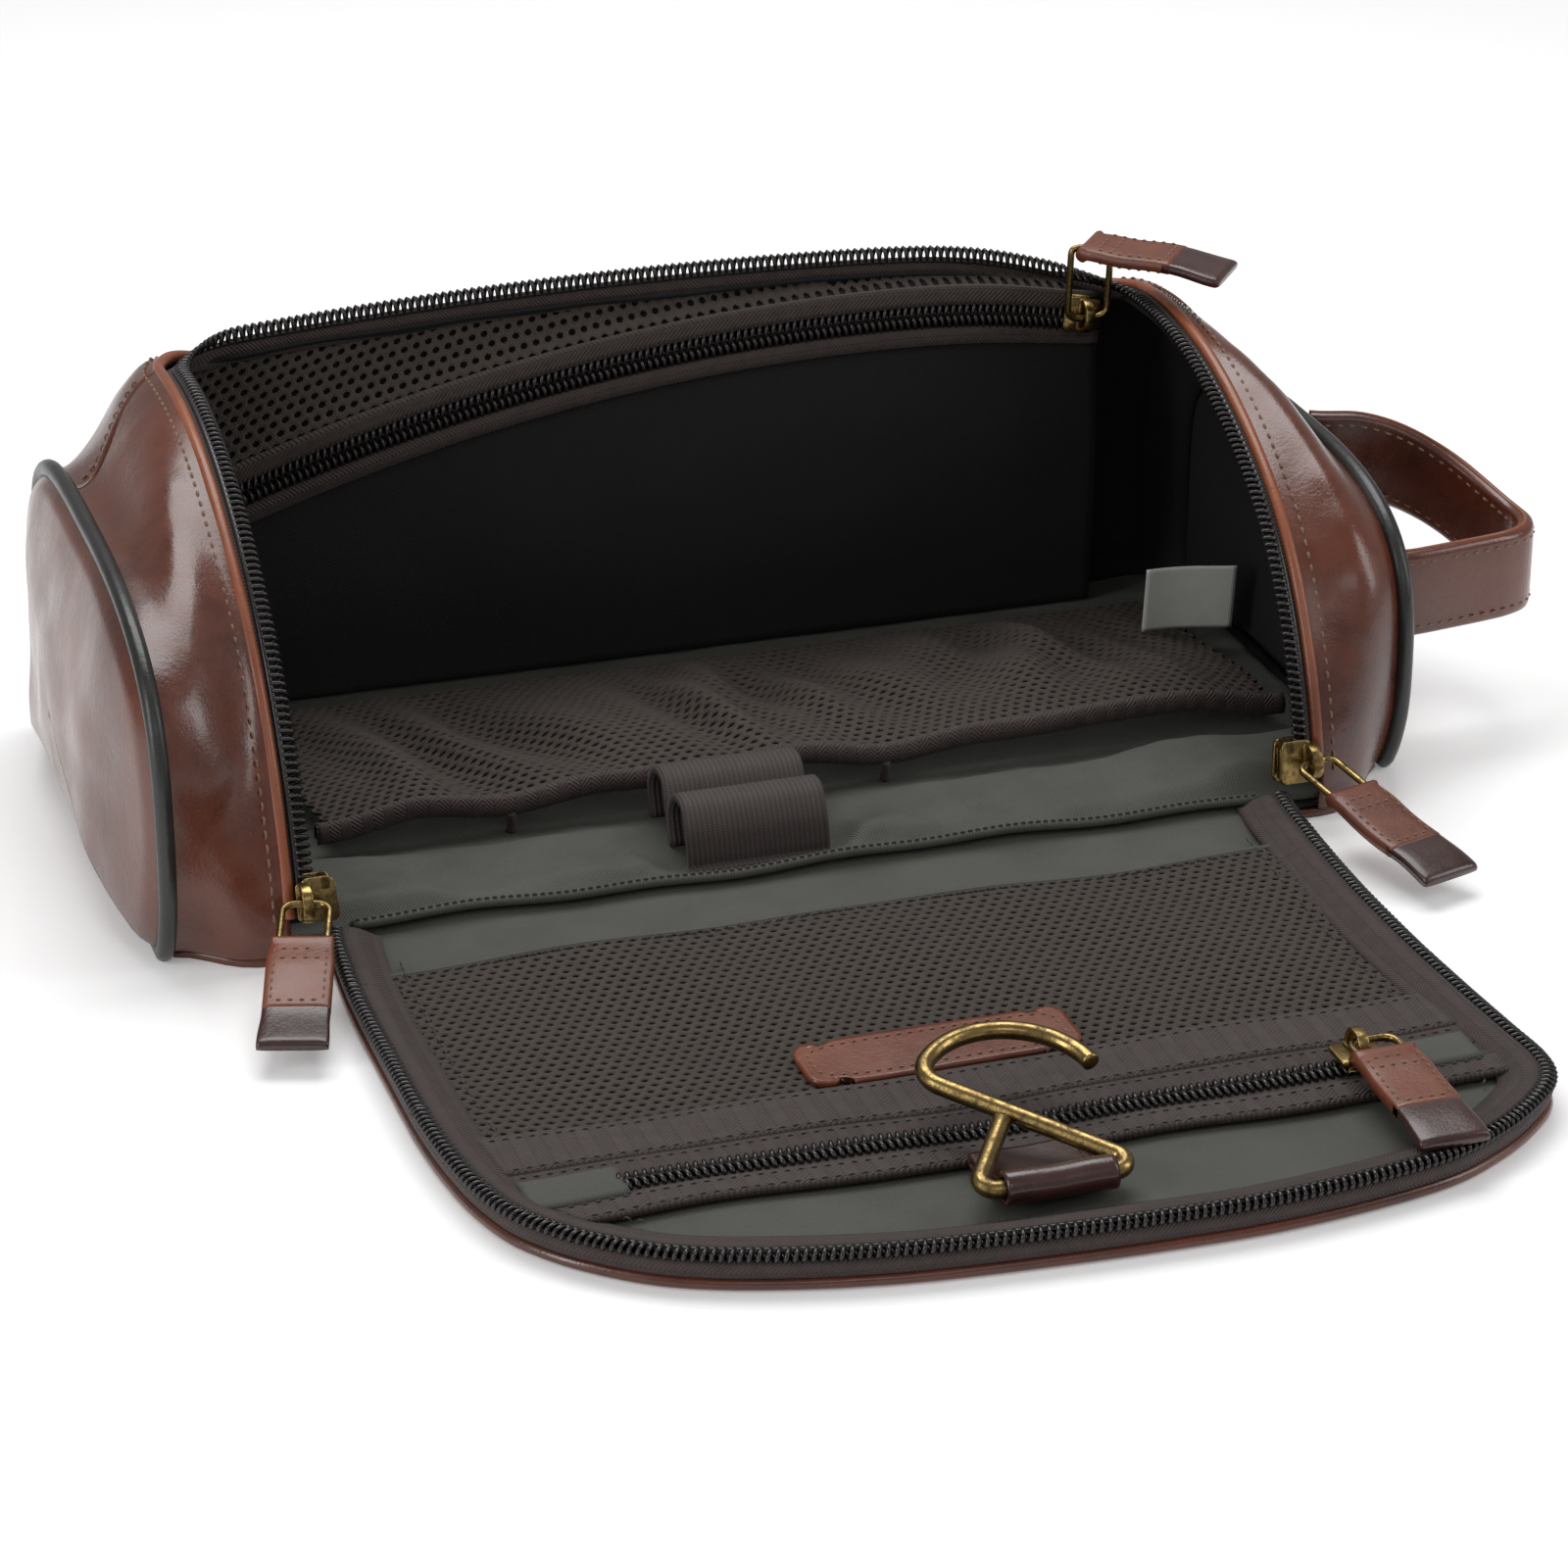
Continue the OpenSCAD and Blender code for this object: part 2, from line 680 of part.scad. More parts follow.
module flap_panel_front() {
    color(leather) front_plate(0, leather_t, flap_margin, bend_2_y - fine);
}

module flap_lining_front() {
    color(twill) front_plate(flap_lining_z, 1.9, flap_margin, bend_2_y - fine);
}

module flap_coil_front() {
    color(coil_black) front_rim(flap_rim_z, coil_t, 0, coil_w);
}

module flap_tape_front() {
    color(tape_brown) front_rim(flap_rim_z + 0.4, tape_t, coil_w, flap_margin - coil_w);
}

module flap_pocket_tape() {
    color(tape_brown) strip(-96, 96, flap_zip_y + 3.2, bend_2_y - 0.6, flap_skin_z, flap_skin_z + tape_t);
}

module flap_pocket_coil() {
    color(coil_black) strip(-77, 77, flap_zip_y - 2.7, flap_zip_y + 2.7,
                            flap_coil_z - coil_t / 2, flap_coil_z + coil_t / 2);
}

module flap_webbing_lower() {
    color(webbing) strip(-96, 96, flap_zip_y - 11, flap_zip_y - 4.8, flap_skin_z, flap_skin_z + 1.5);
}

// ---- hook ----

module hook_loop() {
    bar_r = hook_wire / 2;
    x0 = hook_x - 11.5;
    x1 = hook_x + 10.4;
    color(leather_dark) difference() {
        union() {
            strip(x0, x1, hook_bar_y, flap_zip_y - 11.5, flap_skin_z, hook_bar_z - bar_r - 0.8);
            translate([x0, hook_bar_y, hook_bar_z]) rotate([0, 90, 0])
                cylinder(r = bar_r + 1.4, h = x1 - x0, $fn = 48);
        }
        translate([x0 - 1, hook_bar_y, hook_bar_z]) rotate([0, 90, 0])
            cylinder(r = bar_r + gap, h = x1 - x0 + 2, $fn = 48);
    }
}

// The hook in its own plane: a bar along X, a short leg and a long shank that cross above it,
// and a crook that the shank runs into through a tighter bend
bar_left = -17;             // where the leg's and the shank's lines meet the bar's
bar_right = 16.7;
leg_dir = 57.3;
shank_dir = 133;
corner_r = 2.7;             // radius of the two bends beside the bar
crook_mid = [0.6, 28.1];
crook_tip = 11;             // angle at which the crook ends, about its middle
neck_r = 6;                 // radius of the bend between the shank and the crook

function polar(r, a) = [r * cos(a), r * sin(a)];
leg_l = (bar_right - bar_left) * sin(shank_dir) / sin(shank_dir - leg_dir) - 0.72 * hook_wire;
left_cut = corner_r / tan(leg_dir / 2);
right_cut = corner_r / tan((180 - shank_dir) / 2);
shank_side = polar(1, shank_dir - 90);
crook_off = crook_mid - [bar_right, 0];
shank_end = crook_off * polar(1, shank_dir)
    + sqrt(pow(crook_r - neck_r, 2) - pow(crook_off * shank_side - neck_r, 2));
neck_mid = [bar_right, 0] + shank_end * polar(1, shank_dir) + neck_r * shank_side;
neck_dir = atan2(neck_mid[1] - crook_mid[1], neck_mid[0] - crook_mid[0]);

// Points and directions of a bend about a middle, from one angle to another
function wire_bend(mid, r, from, to, steps) = [for (i = [0:steps]) let (a = lerp(from, to, i / steps))
    concat(mid + polar(r, a), a + (to > from ? 90 : -90))];

// Round wire in the XY plane through a list of [x, y, direction]
module bent_wire(path, r, sides = 16) {
    n = len(path);
    points = [for (p = path, k = [0:sides - 1]) let (a = 360 * k / sides)
        [p[0] - r * cos(a) * sin(p[2]), p[1] + r * cos(a) * cos(p[2]), r * sin(a)]];
    function at(i, k) = i * sides + k % sides;
    faces = concat(
        [for (i = [0:n - 2], k = [0:sides - 1])
            each [[at(i, k), at(i + 1, k), at(i + 1, k + 1)],
                  [at(i, k), at(i + 1, k + 1), at(i, k + 1)]]],
        [for (k = [1:sides - 2]) [at(0, 0), at(0, k), at(0, k + 1)]],
        [for (k = [1:sides - 2]) [at(n - 1, 0), at(n - 1, k + 1), at(n - 1, k)]]);
    polyhedron(points, faces);
}

module hanging_hook() {
    leg_end = [bar_left, 0] + polar(leg_l, leg_dir);
    path = concat(
        [concat(leg_end, leg_dir + 180)],
        wire_bend([bar_left + left_cut, corner_r], corner_r, 90 + leg_dir, 270, 8),
        wire_bend([bar_right - right_cut, corner_r], corner_r, -90, shank_dir - 90, 9),
        wire_bend(neck_mid, neck_r, shank_dir + 90, neck_dir, 8),
        [for (i = [1:22]) wire_bend(crook_mid, crook_r, neck_dir, crook_tip, 22)[i]]);
    color(brass) translate([hook_x, hook_bar_y, hook_bar_z]) rotate([hook_tilt, 0, 0])
        bent_wire(path, hook_wire / 2);
}

base_panel();
back_panel();
side_band_left();
side_band_right();
end_panel_left();
end_panel_right();
piping_left();
piping_right();
hinge_binding();
lining_floor();
lining_back();
lining_left();
lining_right();
body_zip_tape();
body_zip_coil();
floor_pocket_mesh();
floor_pocket_binding();
elastic_loops();
back_pocket_panel();
back_pocket_webbing();
back_pocket_mesh();
back_pocket_coil();
care_label();
handle_strap();
left_zip_slider();
left_zip_ring();
left_zip_pull();
right_zip_slider();
right_zip_ring();
right_zip_pull();
back_zip_slider();
back_zip_ring();
back_zip_pull();
flap_panel_lower();
flap_lining_lower();
flap_mesh_lower();
flap_tape_lower();
flap_coil_lower();
flap_panel_middle();
flap_lining_middle();
flap_mesh_middle();
flap_tape_middle();
flap_coil_middle();
flap_webbing_upper();
leather_patch();
flap_panel_front();
flap_lining_front();
flap_tape_front();
flap_coil_front();
flap_webbing_lower();
flap_pocket_tape();
flap_pocket_coil();
flap_zip_slider();
flap_zip_ring();
flap_zip_pull();
hook_loop();
hanging_hook();
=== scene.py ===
"""Looks of a hanging wash bag with its zip-around flap lying open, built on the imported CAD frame.

Lengths are in millimetres until a mesh is made. X runs along the bag, Y from the flap (-Y) to the
back wall (+Y), Z is up, and the origin is the middle of the base on the table.
"""
import math

import bpy
import numpy as np
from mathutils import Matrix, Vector, noise


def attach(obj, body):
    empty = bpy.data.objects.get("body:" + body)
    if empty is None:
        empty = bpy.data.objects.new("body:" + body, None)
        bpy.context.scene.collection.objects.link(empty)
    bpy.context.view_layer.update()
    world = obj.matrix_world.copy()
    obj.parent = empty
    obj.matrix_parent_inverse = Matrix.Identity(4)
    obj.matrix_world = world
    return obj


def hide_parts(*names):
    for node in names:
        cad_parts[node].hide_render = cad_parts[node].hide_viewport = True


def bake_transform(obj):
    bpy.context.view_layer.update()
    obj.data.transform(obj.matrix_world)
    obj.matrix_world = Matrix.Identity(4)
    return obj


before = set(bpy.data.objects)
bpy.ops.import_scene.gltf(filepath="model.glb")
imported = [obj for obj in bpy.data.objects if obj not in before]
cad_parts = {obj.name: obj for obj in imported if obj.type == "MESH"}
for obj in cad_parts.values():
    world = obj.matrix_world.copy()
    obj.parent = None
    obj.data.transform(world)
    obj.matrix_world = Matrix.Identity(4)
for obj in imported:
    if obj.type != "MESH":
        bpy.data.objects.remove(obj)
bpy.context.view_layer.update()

MM = 0.001

# ---- camera, lights and floor ----

camera_data = bpy.data.cameras.new("camera")
camera_data.lens = 112.5
camera_data.sensor_width = 36
camera = bpy.data.objects.new("camera", camera_data)
camera.location = (-0.2921, -0.9392, 0.4540)
camera.rotation_euler = (math.radians(65), 0, math.radians(-18))
bpy.context.collection.objects.link(camera)
bpy.context.scene.camera = camera

world = bpy.data.worlds.new("studio")
world.use_nodes = True
world.node_tree.nodes["Background"].inputs["Color"].default_value = (1, 1, 1, 1)
world.node_tree.nodes["Background"].inputs["Strength"].default_value = 0.3
bpy.context.scene.world = world
bpy.context.scene.view_settings.view_transform = "Standard"


def softbox(name, place, aim, size, watts):
    data = bpy.data.lights.new(name, "AREA")
    data.shape = "RECTANGLE"
    data.size, data.size_y = size
    data.energy = watts
    lamp = bpy.data.objects.new(name, data)
    lamp.location = place
    lamp.rotation_euler = (Vector(aim) - Vector(place)).to_track_quat("-Z", "Y").to_euler()
    bpy.context.collection.objects.link(lamp)


softbox("overhead", (0.05, 0.35, 0.95), (0, -0.02, 0.03), (0.9, 0.6), 7.5)
softbox("left_strip", (-0.8, -0.3, 0.38), (-0.08, 0, 0.05), (0.22, 0.6), 2.6)
softbox("right_strip", (0.75, -0.4, 0.5), (0.1, 0, 0.05), (0.25, 0.6), 1.8)
softbox("front_fill", (-0.1, -1.1, 0.8), (0, -0.2, 0.02), (0.8, 0.3), 1.2)

# ---- driving sizes, as in the CAD model ----

RIM_R = 100.0
RIM_START, RIM_SWEEP = 171.0, 94.5
HINGE = np.array([-65.0, 7.0])
RIM_Y = HINGE[0] - RIM_R * math.cos(math.radians(RIM_START))
RIM_Z = HINGE[1] - RIM_R * math.sin(math.radians(RIM_START))
RIM_LEN = RIM_R * math.radians(RIM_SWEEP)
SPLIT_X, BAND_X, SEAM_X = 107.25, 113.2, 136.0      # side of the opening, leather edge beside it, end seam
TOP_BOW = 5.0
END_H, END_BULGE, BACK_Y = 75.0, 7.0, 67.0
SEGMENT = 2 * RIM_R * math.sin(math.radians(RIM_SWEEP / 6))
FOLD_1, FOLD_2 = HINGE[0] - SEGMENT, HINGE[0] - 2 * SEGMENT
FOLD_REACH = 7.5            # reach either side of a fold, kept in the fold tuples below
MID = np.array([3.0, 31.0])
BACK_ZIP_R, BACK_ZIP_X, BACK_ZIP_TOP = 450.0, 50.0, 80.5
POCKET_Y, POCKET_HALF = 52.0, 105.5
COIL_PITCH = 1.65
UP = np.array([0, 0, 1.0])
SIDES = ((-1, "left"), (1, "right"))


def ramp(u):
    c = np.clip(u, 0, 1)
    return c * c * (3 - 2 * c)


def lerp(a, b, u):
    return a + (b - a) * u


def unit(v):
    return v / np.maximum(np.linalg.norm(v, axis=-1, keepdims=True), 1e-9)


def xyz(x, y, z):
    """Points whose coordinates are numbers or arrays that fit together."""
    return np.stack(np.broadcast_arrays(x, y, z), -1).astype(float)


def plan(across, along):
    """Flat coordinates from distances across and along the cloth."""
    return np.stack(np.broadcast_arrays(across, along), -1)


def signed_power(v, p):
    return np.sign(v) * np.abs(v) ** p


def wave(points, size, seed=0.0):
    """Smooth noise from -1 to 1 at each point, with bumps about size across."""
    flat = np.reshape(points, (-1, 3)) / size
    values = [noise.noise(Vector((p[0] + seed, p[1] - seed, p[2] + 2 * seed))) for p in flat]
    return np.array(values).reshape(np.shape(points)[:-1])


def smooth_path(points, count):
    """A smooth curve through the points, with count evenly spaced samples."""
    p = np.array(points, float)
    ends = np.vstack([2 * p[0] - p[1], p, 2 * p[-1] - p[-2]])
    out = []
    for i in range(1, len(ends) - 2):
        a, b, c, d = ends[i - 1], ends[i], ends[i + 1], ends[i + 2]
        for u in np.linspace(0, 1, 24, endpoint=False):
            out.append(0.5 * (2 * b + (c - a) * u + (2 * a - 5 * b + 4 * c - d) * u ** 2
                              + (3 * b - a - 3 * c + d) * u ** 3))
    out.append(p[-1])
    return even(np.array(out), count)


def lengths(path):
    return np.concatenate([[0], np.cumsum(np.linalg.norm(np.diff(path, axis=0), axis=1))])


def even(path, count):
    far = lengths(path)
    at = np.linspace(0, far[-1], count)
    return np.stack([np.interp(at, far, path[:, k]) for k in range(path.shape[1])], 1)


def rim_yz(angle, r=RIM_R):
    a = np.radians(angle)
    return RIM_Y + r * np.cos(a), RIM_Z + r * np.sin(a)


def bow(x):
    return TOP_BOW * (1 - np.minimum(np.abs(x) / SPLIT_X, 1) ** 2)


def end_section(t):
    a = np.radians(lerp(213.9, -28.8, t))
    n = np.where(np.cos(a) < 0, 2.8, 3.5)
    half_z = END_H - MID[1]
    return np.stack([MID[0] + 67 * signed_power(np.cos(a), 2 / n),
                     MID[1] + half_z * signed_power(np.sin(a), 2 / n)], -1)


def middle_section(t, x):
    y, z = rim_yz(lerp(RIM_START, RIM_START - RIM_SWEEP, t / 0.6), RIM_R + 1)
    top_y, top_z = rim_yz(RIM_START - RIM_SWEEP, RIM_R + 1)
    u = np.clip((t - 0.6) / 0.4, 0, 1)[..., None]
    knots = [np.stack([np.full_like(x, top_y), top_z + bow(x)], -1),
             np.stack([np.full_like(x, top_y + 12.2), top_z - 3.2 + bow(x)], -1),
             np.array([72.5, 45.0]), np.array([BACK_Y, 2.3])]
    wall = ((1 - u) ** 3 * knots[0] + 3 * u * (1 - u) ** 2 * knots[1]
            + 3 * u * u * (1 - u) * knots[2] + u ** 3 * knots[3])
    front = np.stack([y, z + bow(x) * ramp((t - 0.45) / 0.15)], -1)
    return np.where((t <= 0.6)[..., None], front, wall)


def sag(p):
    """The soft body gives way a little at both shoulders, more at the right one, and its right end tapers."""
    q = np.array(p, float)
    drop = 7.5 * np.exp(-((q[..., 0] - 112) / 26) ** 2) * ramp((q[..., 2] - 48) / 40)
    left = 5.5 * np.exp(-((q[..., 0] + 128) / 14) ** 2) * ramp((q[..., 2] - 48) / 34)
    q[..., 2] -= drop + left
    q[..., 0] += 0.2 * drop
    draw_in = 0.165 * np.clip((p[..., 0] - 114) / 22, 0, 1) ** 1.8
    q[..., 1] -= (q[..., 1] - MID[0]) * draw_in
    q[..., 2] -= np.maximum(q[..., 2] - 12, 0) * draw_in
    return q


def skin(x, t, depth=0.0):
    """Points on the outside of the body, sunk below it by depth."""
    x, t = np.broadcast_arrays(np.asarray(x, float), np.asarray(t, float))
    u = ramp((np.abs(x) - BAND_X) / (SEAM_X - BAND_X))[..., None]
    p = lerp(middle_section(t, x), end_section(t), u)
    out = unit(p - MID)
    q = p + out * (2.8 * np.sin(np.pi * u) - depth)
    z = np.maximum(q[..., 1], 1.2 + 0.25 * depth)
    return sag(xyz(x, q[..., 0], z))


# ---- mesh building ----


class Shape:
    """Gathers vertices, faces and flat coordinates, and turns them into one object."""

    def __init__(self):
        self.verts, self.faces, self.flat, self.count = [], [], [], 0

    def add(self, verts, faces, flat=None):
        verts = np.reshape(verts, (-1, 3))
        self.verts.append(verts)
        self.faces += [[i + self.count for i in face] for face in faces]
        self.flat.append(np.zeros((len(verts), 2)) if flat is None else np.reshape(flat, (-1, 2)))
        self.count += len(verts)
        return self

    def make(self, name, material, slot, body, *stands_for):
        mesh = bpy.data.meshes.new(name)
        mesh.from_pydata((np.concatenate(self.verts) * MM).tolist(), [], self.faces)
        layer = mesh.uv_layers.new(name="weave")
        index = np.empty(len(mesh.loops), np.int32)
        mesh.loops.foreach_get("vertex_index", index)
        layer.data.foreach_set("uv", (np.concatenate(self.flat)[index] * 0.1).astype(np.float32).ravel())
        mesh.polygons.foreach_set("use_smooth", [True] * len(mesh.polygons))
        mesh.materials.append(material)
        mesh.validate()
        piece = bpy.data.objects.new(name, mesh)
        bpy.context.collection.objects.link(piece)
        if isinstance(body, str):
            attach(piece, body)
        else:
            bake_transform(piece)
        if stands_for:
            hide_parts(*stands_for)
        return piece


HINGE_BEND = ("root", "flap_lower", HINGE[0] + 6, HINGE[0] - 6)
FOLD_1_BEND = ("flap_lower", "flap_middle", FOLD_1 + FOLD_REACH, FOLD_1 - FOLD_REACH)
FOLD_2_BEND = ("flap_middle", "flap_front", FOLD_2 + FOLD_REACH, FOLD_2 - FOLD_REACH)


def quads(rows, cols, loop=False):
    wide = cols if loop else cols - 1
    return [[i * cols + j, i * cols + (j + 1) % cols, (i + 1) * cols + (j + 1) % cols, (i + 1) * cols + j]
            for i in range(rows - 1) for j in range(wide)]


def capped(rows, sides):
    """Faces of a closed tube of rings with both ends capped."""
    last = (rows - 1) * sides
    return quads(rows, sides, loop=True) + [list(range(sides - 1, -1, -1)), [last + j for j in range(sides)]]


def grid_normals(p):
    return unit(np.cross(np.gradient(p, axis=1), np.gradient(p, axis=0)))


def grid_flat(p):
    steps_across = np.linalg.norm(np.diff(p, axis=1), axis=2)
    steps_along = np.linalg.norm(np.diff(p, axis=0), axis=2)
    across = np.concatenate([np.zeros((len(p), 1)), np.cumsum(steps_across, 1)], 1)
    along = np.concatenate([np.zeros((1, p.shape[1])), np.cumsum(steps_along, 0)], 0)
    return np.stack([across - across.mean(1, keepdims=True), along.mean(1, keepdims=True) + 0 * along], -1)


def slab(shape, p, up, down, flat=None):
    """A closed sheet about the grid p, from down below it to up above it."""
    rows, cols = p.shape[:2]
    n = grid_normals(p)
    faces = quads(rows, cols)
    k = rows * cols
    under = [[i + k for i in reversed(f)] for f in faces]
    rim = ([j for j in range(cols - 1)] + [i * cols + cols - 1 for i in range(rows - 1)]
           + [(rows - 1) * cols + j for j in range(cols - 1, 0, -1)]
           + [i * cols for i in range(rows - 1, 0, -1)])
    walls = [[rim[(i + 1) % len(rim)], rim[i], rim[i] + k, rim[(i + 1) % len(rim)] + k]
             for i in range(len(rim))]
    flat = grid_flat(p) if flat is None else flat
    return shape.add([p + n * up, p - n * down], faces + under + walls, [flat, flat])


def frames(path, closed=False):
    """Along, side and up directions that turn as little as they can."""
    if closed:
        along = unit(np.roll(path, -1, 0) - np.roll(path, 1, 0))
    else:
        along = unit(np.gradient(path, axis=0))
    side = np.zeros_like(path)
    start = np.array([0, 0, 1.0]) if abs(along[0][2]) < 0.9 else np.array([1.0, 0, 0])
    side[0] = unit(np.cross(along[0], start))
    for i in range(1, len(path)):
        v = side[i - 1] - along[i] * np.dot(side[i - 1], along[i])
        side[i] = v / np.linalg.norm(v)
    return along, side, np.cross(side, along)


def tube(shape, path, radius, sides=10, closed=False, side=None, up=None):
    path = np.array(path, float)
    if side is None:
        _, side, up = frames(path, closed)
    up = np.broadcast_to(up, path.shape)
    a = np.linspace(0, 2 * np.pi, sides, endpoint=False)
    r = np.broadcast_to(np.asarray(radius, float), (len(path),))[:, None, None]
    p = path[:, None] + r * (np.cos(a)[None, :, None] * side[:, None]
                             + np.sin(a)[None, :, None] * up[:, None])
    faces = capped(len(path), sides)
    if closed:
        last = (len(path) - 1) * sides
        faces[-2:] = [[last + j, last + (j + 1) % sides, (j + 1) % sides, j] for j in range(sides)]
    far = lengths(path)
    flat = plan(np.linspace(0, 6, sides)[None], far[:, None])
    return shape.add(p, faces, flat)


def coil(shape, path, reach, up, half_w=1.5, half_h=0.8, wire=0.46, start=0.0):
    """A row of zip teeth: one long flat spiral of nylon wire along the path."""
    per_turn = 9
    turns = lengths(path)[-1] / COIL_PITCH
    count = int(turns * per_turn)
    far = lengths(path)
    at = np.linspace(0, far[-1], count)
    pick = lambda v: np.stack([np.interp(at, far, c) for c in np.broadcast_to(v, path.shape).T], 1)
    middle, reach, up = pick(path), unit(pick(reach)), unit(pick(up))
    a = (2 * np.pi * at / COIL_PITCH + start)[:, None]
    off = reach * half_w * np.cos(a) + up * half_h * np.sin(a)
    line = middle + off
    along = unit(np.gradient(line, axis=0))
    side = unit(off - along * np.sum(off * along, 1, keepdims=True))
    return tube(shape, line, wire, 5, side=side, up=np.cross(side, along))


def stitches(shape, path, up, pitch=2.6, length=1.8, radius=0.3, sink=0.05):
    """Short rounded threads along the path, each one dipping into the leather at its ends."""
    far, up = lengths(path), np.broadcast_to(up, path.shape)
    count = max(int(far[-1] / pitch), 1)
    for k in range(count):
        at = (k + 0.5) * pitch + np.array([-0.5, -0.3, 0, 0.3, 0.5]) * length
        p = np.stack([np.interp(at, far, path[:, i]) for i in range(3)], 1)
        n = unit(np.stack([np.interp(at, far, up[:, i]) for i in range(3)], 1))
        p = p + n * (np.array([-0.35, 0.05, 0.22, 0.05, -0.35])[:, None] - sink)
        side = unit(np.cross(p[-1] - p[0], n[2]))
        tube(shape, p, radius * np.array([0.6, 0.95, 1, 0.95, 0.6]), 6,
             side=np.repeat(side[None], 5, 0), up=n)
    return shape


def closed_sheet(shape, verts, faces, normals, thickness, flat):
    """Gives an open sheet, holes and all, a thickness."""
    k = len(verts)
    edges = {}
    for f in faces:
        for i, a in enumerate(f):
            b = f[(i + 1) % len(f)]
            edges[(a, b)] = edges.get((a, b), 0) + 1
    walls = [[b, a, a + k, b + k] for (a, b) in edges if (b, a) not in edges]
    under = [[i + k for i in reversed(f)] for f in faces]
    both = np.concatenate([verts + normals * thickness / 2, verts - normals * thickness / 2])
    return shape.add(both, list(faces) + under + walls, np.concatenate([flat, flat]))


def net(shape, surface, u0, u1, v0, v1, inside=None, pitch=2.8, row=2.25, hole=(0.92, 0.66), thickness=0.7):
    """Knitted mesh with real holes in staggered rows. surface turns flat (u, v) into points in space."""
    corners = [(0, 2 / 3), (-0.5, 1 / 3), (-0.5, -1 / 3), (0, -2 / 3), (0.5, -1 / 3), (0.5, 1 / 3)]
    ring = [(math.cos(math.radians(90 + 60 * k)) * hole[0], math.sin(math.radians(90 + 60 * k)) * hole[1])
            for k in range(6)]
    index, flat, faces = {}, [], []

    def vertex(u, v):
        key = (round(u * 50), round(v * 50))
        if key not in index:
            index[key] = len(flat)
            flat.append((u, v))
        return index[key]

    for j in range(int((v1 - v0) / row)):
        for i in range(int((u1 - u0) / pitch)):
            cu = u0 + (i + 0.5 + 0.5 * (j % 2)) * pitch
            cv = v0 + (j + 0.7) * row
            if cu > u1 - pitch / 2 or (inside is not None and not inside(cu, cv)):
                continue
            outer = [vertex(cu + a * pitch, cv + b * row) for a, b in corners]
            inner = []
            for a, b in ring:
                inner.append(len(flat))
                flat.append((cu + a, cv + b))
            faces += [[outer[k], outer[(k + 1) % 6], inner[(k + 1) % 6], inner[k]] for k in range(6)]
    flat = np.array(flat)
    p = surface(flat[:, 0], flat[:, 1])
    du = surface(flat[:, 0] + 0.5, flat[:, 1]) - p
    dv = surface(flat[:, 0], flat[:, 1] + 0.5) - p
    return closed_sheet(shape, p, faces, unit(np.cross(du, dv)), thickness, flat)


# ---- materials ----


class Finish:
    """A material under construction, with short calls for its nodes."""

    def __init__(self, name):
        self.material = bpy.data.materials.new(name)
        self.material.use_nodes = True
        self.tree = self.material.node_tree
        self.shader = self.tree.nodes["Principled BSDF"]
        self.place = self.tree.nodes.new("ShaderNodeTexCoord")

    def node(self, kind, inputs=None, **settings):
        made = self.tree.nodes.new(kind)
        for key, value in settings.items():
            setattr(made, key, value)
        for key, value in (inputs or {}).items():
            if isinstance(value, bpy.types.NodeSocket):
                self.tree.links.new(value, made.inputs[key])
            else:
                made.inputs[key].default_value = value
        return made

    def speckle(self, size, detail=3.0, rough=0.55):
        """Soft noise from 0 to 1 whose spots are about size millimetres across."""
        return self.node("ShaderNodeTexNoise", {"Vector": self.place.outputs["Object"], "Scale": 1000 / size,
                                                "Detail": detail, "Roughness": rough}).outputs["Fac"]

    def cells(self, size):
        return self.node("ShaderNodeTexVoronoi", {"Vector": self.place.outputs["Object"],
                                                  "Scale": 1000 / size}).outputs["Distance"]

    def math(self, operation, a, b=0.0):
        return self.node("ShaderNodeMath", {0: a, 1: b}, operation=operation).outputs[0]

    def spread(self, value, low, high, to_low=0.0, to_high=1.0):
        return self.node("ShaderNodeMapRange", {"Value": value, "From Min": low, "From Max": high,
                                                "To Min": to_low, "To Max": to_high}).outputs["Result"]

    def mix(self, fac, a, b):
        made = self.node("ShaderNodeMix", {"Factor": fac}, data_type="RGBA")
        for socket, value in ((made.inputs[6], a), (made.inputs[7], b)):
            if isinstance(value, bpy.types.NodeSocket):
                self.tree.links.new(value, socket)
            else:
                socket.default_value = (*value, 1)
        return made.outputs[2]

    def weave(self):
        """Flat coordinates in millimetres: across the cloth and along it."""
        uv = self.node("ShaderNodeUVMap", uv_map="weave").outputs["UV"]
        split = self.node("ShaderNodeSeparateXYZ", {0: uv})
        return self.math("MULTIPLY", split.outputs[0], 10), self.math("MULTIPLY", split.outputs[1], 10)

    def stripes(self, value, pitch):
        """Rounded ribs from 0 to 1, one every pitch millimetres of value."""
        turned = self.math("SINE", self.math("MULTIPLY", value, 2 * math.pi / pitch))
        return self.spread(turned, -1, 1)

    def dyed(self, height, low, high, dark, blotch, base, deep, share):
        """Cloth colour: blotches between two shades, darker where the weave is low."""
        tint = self.mix(self.spread(self.speckle(blotch, 3), 0.3, 0.7), base, deep)
        return self.mix(self.spread(height, low, high, dark, 0.0), tint, tuple(share * c for c in deep))

    def bump(self, height, depth, under=None):
        inputs = {"Height": height, "Distance": depth * MM, "Strength": 1.0}
        if under is not None:
            inputs["Normal"] = under
        return self.node("ShaderNodeBump", inputs).outputs["Normal"]

    def done(self, colour, roughness, normal=None, **fixed):
        for key, value in (("Base Color", colour), ("Roughness", roughness), ("Normal", normal)):
            if isinstance(value, bpy.types.NodeSocket):
                self.tree.links.new(value, self.shader.inputs[key])
            elif value is not None:
                self.shader.inputs[key].default_value = (*value, 1) if key == "Base Color" else value
        for key, value in fixed.items():
            self.shader.inputs[key.replace("_", " ")].default_value = value
        return self.material


